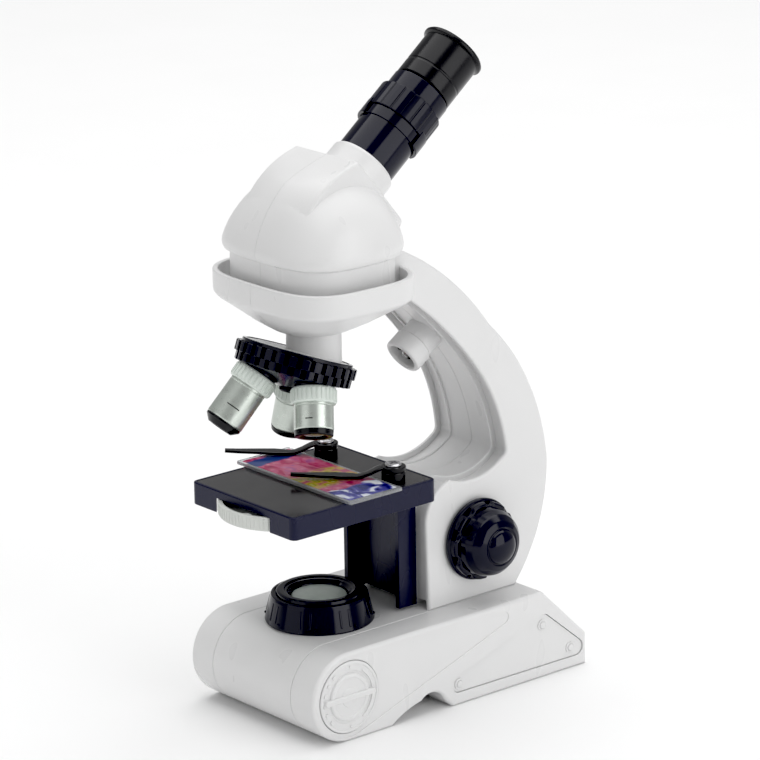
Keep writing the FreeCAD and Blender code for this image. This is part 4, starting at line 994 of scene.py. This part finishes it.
def objective(name, turn, barrel, tip, end, ticks, tick_turn):
    """Knurled collar, satin barrel with an engraved ring and ticks, black tip; gives back its front lens."""
    place = turret_place(TURRET_PHASE + turn) @ about("Y", -TURRET_TILT) @ at(0, 0, -SEAT)
    low = -5.3 - barrel - TIP_OVERLAP
    bottom = low - tip + TIP_OVERLAP
    knurl = prism("knurl", gear(30, 7.12, 7.45, 0.62, 0, 0.12), -4.7, -0.8, (0.2, 0.2), place)
    rims = [(4.4, -5.3), (6.95, -5.3, 0.2), (7.2, -4.9, 0.2), (7.2, -0.5, 0.3), (6.7, -0.05, 0.3),
            (4.4, -0.05)]
    collar = joined("collar_" + name, [knurl, lathe("rims", eased(rims, 4), place)])
    set_up(collar, LOOK["collar"], "turret", ["objective_collar_" + name])
    body = [(4.4, -5.3), (6.25, -5.3), (6.3, -5.9, 0.1), (6.15, -6.1, 0.1), (6.3, -6.3, 0.1),
            (6.38, low + 0.5, 0.3), (6.2, low, 0.2), (4.4, low)]
    turned("barrel_" + name, body, place, "silver", "turret", ["objective_barrel_" + name],
           3)
    mark = rounded_box(-0.16, 0.16, -1.2, 1.2, 0.1, 3)
    for count in range(ticks):
        spot = place @ about("Z", tick_turn + 10 * count) @ at(0, 0, low + barrel * 0.42) @ about("Y", 90)
        tick = prism(f"tick_{name}_{count}", mark, 6.20, 6.42, (0, 0.05), spot)
        set_up(tick, LOOK["black"], "turret")
    nose = [(4.4, low), (6.3, low, 0.1), (6.2, low - 0.7, 0.3), (end + 0.35, bottom + 0.3, 0.3),
            (end, bottom, 0.3), (end - 1.2, bottom, 0.4), (3.2, bottom + 0.9, 0.2), (3.1, low - 0.6),
            (4.4, low - 0.4)]
    turned("nose_" + name, nose, place, "black", "turret", ["objective_tip_" + name])
    glass = [(0, bottom + 0.6), (3.1, bottom + 0.6), (3.1, bottom + 1.7), (0, bottom + 1.7)]
    return lathe("front_lens", glass, place, 48, closed=False)


def objectives():
    lenses = [objective("short", 0, 7.4, 3.0, 5.8, 1, -62), objective("middle", 120, 9.4, 3.0, 5.7, 2, -120),
              objective("long", 240, 12.4, 3.7, 4.2, 3, 62)]
    set_up(joined("front_lenses", lenses), LOOK["lens"], "turret", ["objective_lenses"])


# ------------------------------ focus drive
SHAFT = (50.8, 50.3)                       # centre of the focus shaft (y, z)


def scalloped(radius, hollow, lobes, steps=180):
    """Circle with evenly spaced round hollows in its rim."""
    points = []
    centre = radius + hollow * 0.54
    for step in range(steps):
        angle = 2 * math.pi * step / steps
        away = (angle * lobes / (2 * math.pi) + 0.5) % 1 - 0.5
        delta = away * 2 * math.pi / lobes
        reach = radius
        across = centre * math.sin(delta)
        if abs(across) < hollow:
            reach = min(radius, centre * math.cos(delta) - math.sqrt(hollow ** 2 - across ** 2))
        points.append(Vector((reach * math.cos(angle), reach * math.sin(angle))))
    return points


def knob(side):
    """Focus knob: scalloped flange, stepped dome and a small dome in its middle."""
    place = SIDE @ at(SHAFT[0], SHAFT[1], 20.2)
    flange = eased([(0, 0), (13.7, 0), (13.8, 1.0, 0.5), (13.2, 1.6, 0.4), (0, 1.6)], 4)
    scallops = prism("scallops", scalloped(13.1, 2.3, 9), 1.2, 4.2, (0.2, 1.0), place, 5)
    cap = [(0, 1.0), (11.4, 1.0), (11.5, 4.6, 0.6), (11.2, 6.6, 2), (10.2, 9.2, 2), (8.4, 11.2, 2),
           (6.6, 12.0, 0.8), (6.1, 11.8, 0.3), (5.8, 11.9, 0.3)]
    cap = eased(cap, 5, closed=False) + crown(5.8, 11.7, 2.7, 8, 7) + [(0, 14.4)]
    parts = [lathe("flange", flange, place, 128), scallops, lathe("cap", cap, place, 128, closed=False)]
    body = sided(joined("knob", parts), side, "focus_knob_")
    set_up(body, LOOK["navy"], "focus", ["knob_" + SIDES[side]])


# ------------------------------ stage
STAGE_LOW, STAGE_HIGH = (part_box("stage_tray")[i].z / MM for i in (0, 1))
STAGE_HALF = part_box("stage_tray")[1].x / MM
STAGE_FRONT, STAGE_REAR = (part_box("stage_tray")[i].y / MM for i in (0, 1))
WHEEL = (0.5, -15.0, 20.5)                 # centre and radius of the light wheel
WHEEL_RIBS = 84
LIGHT_HOLE = 6.0
POSTS = {"right": (18.5, 16.6), "left": (-15.5, 16.6)}
CLIP_TURN = 140                            # degrees from straight back to where the clips lie on the slide


def stage_outline(inset, radius):
    """The stage's outline from above, moved inwards."""
    half = STAGE_HALF - inset
    return rounded_box(-half, half, STAGE_FRONT + inset, STAGE_REAR - inset, radius)


def stage_tray():
    """Navy tray: rounded top rim, recess for the film plate, open below, slot for the light wheel."""
    front, low, top, roof = STAGE_FRONT, STAGE_LOW, STAGE_HIGH, 74.6
    sharp = (0, 0)
    tray = prism("stage_body", stage_outline(0, 2.4), low, top, (0.3, 0.5), FLAT, 5)
    carved(tray, [
        prism("cavity", stage_outline(1.8, 1.0), low - 1, top - 2.5, sharp),
        prism("recess", stage_outline(0.95, 1.6), top - 0.9, top + 1, sharp),
        prism("slot", rounded_box(-12.6, 11.8, front - 1, front + 3, 0.05), low - 1, roof, sharp),
        prism("swing", disc(WHEEL[2] + 0.4, WHEEL[0], WHEEL[1], 128), low - 0.9, roof, sharp),
        prism("light", disc(LIGHT_HOLE), low - 1.1, top + 1.1, sharp)])
    set_up(tray, LOOK["stage_navy"], "stage", ["stage_tray"], bevel=0.15, smooth=30)
    plate = prism("stage_film", stage_outline(1.05, 1.5), top - 0.9, top - 0.12, (0, 0.1))
    carved(plate, [prism("light", disc(LIGHT_HOLE), top - 2, top + 1, sharp)])
    set_up(plate, LOOK["plate"], "stage", ["stage_plate"], smooth=30)


def light_wheel():
    """Pale wheel under the stage: finely ribbed rim, thin web with six light holes, and a hub."""
    x, y, radius = WHEEL
    place = at(x, y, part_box("filter_wheel")[0].z / MM)
    inner = radius - 1.5
    web = prism("light_wheel_web", disc(inner + 0.3, steps=96), 1.0, 2.2, (0, 0), place)
    reach = -y                             # each hole comes under the optical axis as the wheel turns
    holes = []
    for count, hole in enumerate((3.6, 3.1, 2.6, 2.1, 1.6, 1.1)):
        angle = math.radians(90 + 60 * count)
        outline = disc(hole, reach * math.cos(angle), reach * math.sin(angle), 40)
        holes.append(prism("hole", outline, 0.5, 3, (0, 0), place))
    carved(web, holes)
    ring = [(inner, 0.0, 0.2), (radius - 0.22, 0.0, 0.4), (radius - 0.22, 4.6, 0.4), (inner, 4.6, 0.2)]
    parts = [web, lathe("rim", eased(ring, 4), place, 2 * WHEEL_RIBS)]
    rib = wedge((-0.3, 0.2), (0.2, 0.17), 0.1, 0.12)
    for count in range(WHEEL_RIBS):
        turn = about("Z", 360 / WHEEL_RIBS * count) @ at(radius - 0.22, 0, 0)
        parts.append(prism("rib", rib, 0.45, 4.15, (0.1, 0.1), place @ turn, 2))
    hub = [(1.3, 0, 0.1), (4.0, 0, 0.2), (4.0, 1.2), (3.4, 2.0), (3.4, 4.6, 0.2), (1.3, 4.6, 0.1)]
    wheel = joined("light_wheel_body", parts + [lathe("hub", eased(hub, 3), place, 48)])
    set_up(wheel, LOOK["wheel"], "light_wheel", ["filter_wheel"], smooth=30)


def ribbon(name, stations, place):
    """A strap through stations of (along, height, half width, thickness), its edges rounded."""
    rings = []
    for i, (along, height, half, thick) in enumerate(stations):
        before, after = stations[max(i - 1, 0)], stations[min(i + 1, len(stations) - 1)]
        run = Vector((after[0] - before[0], after[1] - before[1])).normalized()
        up = Vector((-run.y, run.x))
        ring = []
        for step in range(32):
            angle = 2 * math.pi * step / 32
            c, s = math.cos(angle), math.sin(angle)
            reach = superellipse(c, s, 1, 1, 5)
            rise = reach * s * thick / 2 - thick / 2
            ring.append(place @ Vector((reach * c * half, along + up.x * rise, height + up.y * rise)))
        rings.append(ring)
    return mesh_object(name, *tube_of_rings(rings))


def clip(name):
    """Spring clip: round post head, and a cranked strap that is narrow at its bend and at its tip."""
    place = at(*POSTS[name], STAGE_HIGH, about("Z", CLIP_TURN))
    boss = [(0, 0.05), (3.9, 0.05, 0.2), (3.9, 3.2, 0.3), (3.7, 3.6, 0.2), (4.1, 3.9, 0.3), (4.1, 5.3, 0.4),
            (0, 5.3)]
    boss = lathe("boss", eased(boss, 4, closed=False), place, 72, closed=False)
    bend, tip = 11.6, 32.9
    path = [(0.4, 5.3), (3.6, 5.2), (5.4, 4.6), (8.0, 3.3), (10.2, 2.5), (bend, 2.35), (13.5, 2.5), (17, 2.7),
            (22, 2.9), (28, 3.1), (31.6, 3.3), (tip, 3.4)]
    stations = []
    for along, height in path:
        if along > bend:
            half = min(1.6 + 0.9 * (along - bend) / 4, 2.5 - 1.5 * (along - bend - 4) / (tip - bend - 4))
        else:
            half = 2.9 - 1.3 * along / bend
        stations.append((along, height, half, 1.1 if along > 4 else 0.9))
    body = joined("spring_clip_" + name, [boss, ribbon("strap", stations, place)])
    set_up(body, LOOK["black"], name + "_clip", ["clip_" + name], smooth=40)


def clip_bolts():
    """Plated screw heads with a cross recess on the clips' posts."""
    heads = []
    bolt = [(0, -9), (1.2, -9), (1.2, 0), (2.7, 0, 0.15), (2.7, 0.55, 0.25), (2.3, 0.9, 0.4), (1.2, 1.0, 0.5),
            (0, 1.02)]
    slot = rounded_box(-1.75, 1.75, -0.32, 0.32, 0.2, 3)
    for post in POSTS.values():
        place = at(*post, STAGE_HIGH + 5.35)
        head = lathe("head", eased(bolt, 4, closed=False), place, 64, closed=False)
        for turn in (20, 110):
            carved(head, [prism("cross", slot, 0.45, 2, (0, 0), place @ about("Z", turn))])
        heads.append(head)
    set_up(joined("clip_bolts", heads), LOOK["steel"], "stage", ["clip_screws"], smooth=30)


def specimen_slide():
    """Printed specimen inside a clear sheet."""
    low, high = (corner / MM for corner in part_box("specimen_slide"))
    outline = rounded_box(low.x, high.x, low.y, high.y, 1.0)
    inner = rounded_box(low.x + 1.6, high.x - 1.6, low.y + 1.2, high.y - 1.2, 0.6)
    sheet = prism("slide_sheet", outline, low.z, high.z, (0.1, 0.2))
    set_up(sheet, LOOK["clear"], "slide", ["specimen_slide"])
    print_layer = prism("slide_print", inner, high.z - 0.2, high.z + 0.05, (0, 0.05))
    set_up(print_layer, LOOK["print"], "slide")


# ------------------------------ parts seen only from behind or inside
def plain_parts():
    """CAD solids kept as they are, with softened edges."""
    for name, node, look, body, slot, bevel, smooth in (
            ("floor_plate", "bottom_plate", "white", "base", "white_door", 0.15, 32),
            ("battery_lid", "battery_door", "white", "base", "white_door", 0.15, 32),
            ("floor_screws", "base_screws", "steel", "base", "screw_steel", 0.08, 32),
            ("arm_side_screws", "arm_screws", "steel", "base", "screw_steel", 0.08, 32),
            ("light_wheel_screw", "filter_wheel_screw", "steel", "stage", "screw_steel", 0.1, 32),
            ("stage_slider", "stage_carriage", "stage_navy", "stage", "stage_navy", 0.35, 30),
            ("lift_rack", "focus_rack", "black", "stage", "black_plastic", 0.1, 30),
            ("shaft_and_pinion", "focus_shaft", "navy", "focus", "navy_plastic", 0.1, 30),
            ("selector_spindle", "dial_spindle", "white", "selector", "white_shell", 0.15, 30),
            ("cell_one", "cell_a", "cell", "base", "cell_skin", 0.4, 30),
            ("cell_two", "cell_b", "cell", "base", "cell_skin", 0.4, 30),
            ("contact_plates", "cell_contacts", "steel", "base", "contact_steel", 0.08, 30),
            ("contact_springs", "cell_springs", "steel", "base", "contact_steel", 0.0, 30),
            ("circuit_board", "lamp_board", "board", "base", "board_green", 0.1, 30),
            ("base_lamp", "lamp_led", "lamp", "base", "lamp_clear", 0.05, 30),
            ("bending_prism", "prism", "lens", "base", "clear_glass", 0.2, 30)):
        set_up(copied(name, node), LOOK[look], body, [node], bevel, smooth)


# ------------------------------ the whole object
def build():
    base_centre()
    for side in SIDES:
        rail(side)
        side_cover(side)
        dial(side)
        knob(side)
    head()
    cover_pins()
    illuminator()
    arm_and_cup()
    spot_lamp()
    eyepiece()
    nosepiece()
    turret()
    objectives()
    stage_tray()
    light_wheel()
    for name in POSTS:
        clip(name)
    clip_bolts()
    specimen_slide()
    plain_parts()


# ------------------------------ studio
def plain(name, colour, roughness):
    r = Recipe(name, colour, roughness)
    soft = r.noise(60, 2)
    r.colour(r.mix(r.spread(soft, 0, 1), tinted(colour, 0.995), tinted(colour, 1.005)))
    return r.material


SKY = 0.38
BLACK_POINT = 0.018                        # the photo's blacks are deep
VIEW_TURN, VIEW_TIP, VIEW_ROLL = 50.01, 16.83, -0.93    # degrees: round the object, down on it, clockwise
VIEW_AWAY = 1308.09                        # the origin's place from the camera: ahead, right and up
VIEW_RIGHT, VIEW_UP = -19.11, -105.735
LENS, SENSOR = 189.47, 36


def studio():
    """Wide white floor, soft lights from the right, the front left and above, and a dim white sky."""
    rings = [[Vector((x, y, 0)) for y in (-1500, 3500)] for x in (-4000, 2000)]
    floor = mesh_object("studio_floor", *tube_of_rings(rings, caps=False, closed=False))
    floor.data.materials.append(plain("studio_white", (0.93, 0.93, 0.93), 0.9))
    for name, spot, size, power, aim in (
            ("key", (900, 200, 360), (700, 900), 3.5, (0, 20, 100)),
            ("fill", (-100, -950, 420), (800, 800), 1.15, (0, 20, 100)),
            ("top", (-450, 450, 1900), (2600, 2600), 39.0, (-450, 450, 0))):
        lamp_data = bpy.data.lights.new(name, "AREA")
        lamp_data.shape = "RECTANGLE"
        lamp_data.size, lamp_data.size_y = size[0] * MM, size[1] * MM
        lamp_data.energy = power
        lamp = linked(name, lamp_data)
        lamp.location = Vector(spot) * MM
        lamp.rotation_euler = (Vector(aim) - Vector(spot)).to_track_quat("-Z", "Y").to_euler()
    world = bpy.data.worlds.new("sky")
    world.use_nodes = True
    background = world.node_tree.nodes["Background"]
    background.inputs["Color"].default_value = (1, 1, 1, 1)
    background.inputs["Strength"].default_value = SKY
    bpy.context.scene.world = world
    grading = bpy.context.scene.view_settings
    grading.view_transform = "Standard"
    grading.use_curve_mapping = True
    grading.curve_mapping.black_level = [BLACK_POINT] * 3
    grading.curve_mapping.update()


def camera():
    """The photo's view: turned about the object, tipped down and rolled a little."""
    turn, tip, roll = map(math.radians, (VIEW_TURN, VIEW_TIP, VIEW_ROLL))
    ahead = Vector((-math.sin(turn) * math.cos(tip), math.cos(turn) * math.cos(tip), -math.sin(tip)))
    level = Vector((math.cos(turn), math.sin(turn), 0))
    upright = level.cross(ahead)
    right = level * math.cos(roll) + upright * math.sin(roll)
    up = upright * math.cos(roll) - level * math.sin(roll)
    data = bpy.data.cameras.new("camera")
    data.sensor_width = SENSOR
    data.lens = LENS
    data.clip_end = 10
    view = linked("camera", data)
    place = (right * -VIEW_RIGHT + up * -VIEW_UP + ahead * -VIEW_AWAY) * MM
    view.matrix_world = Matrix.Translation(place) @ Matrix((right, up, -ahead)).transposed().to_4x4()
    bpy.context.scene.camera = view


build()
studio()
camera()
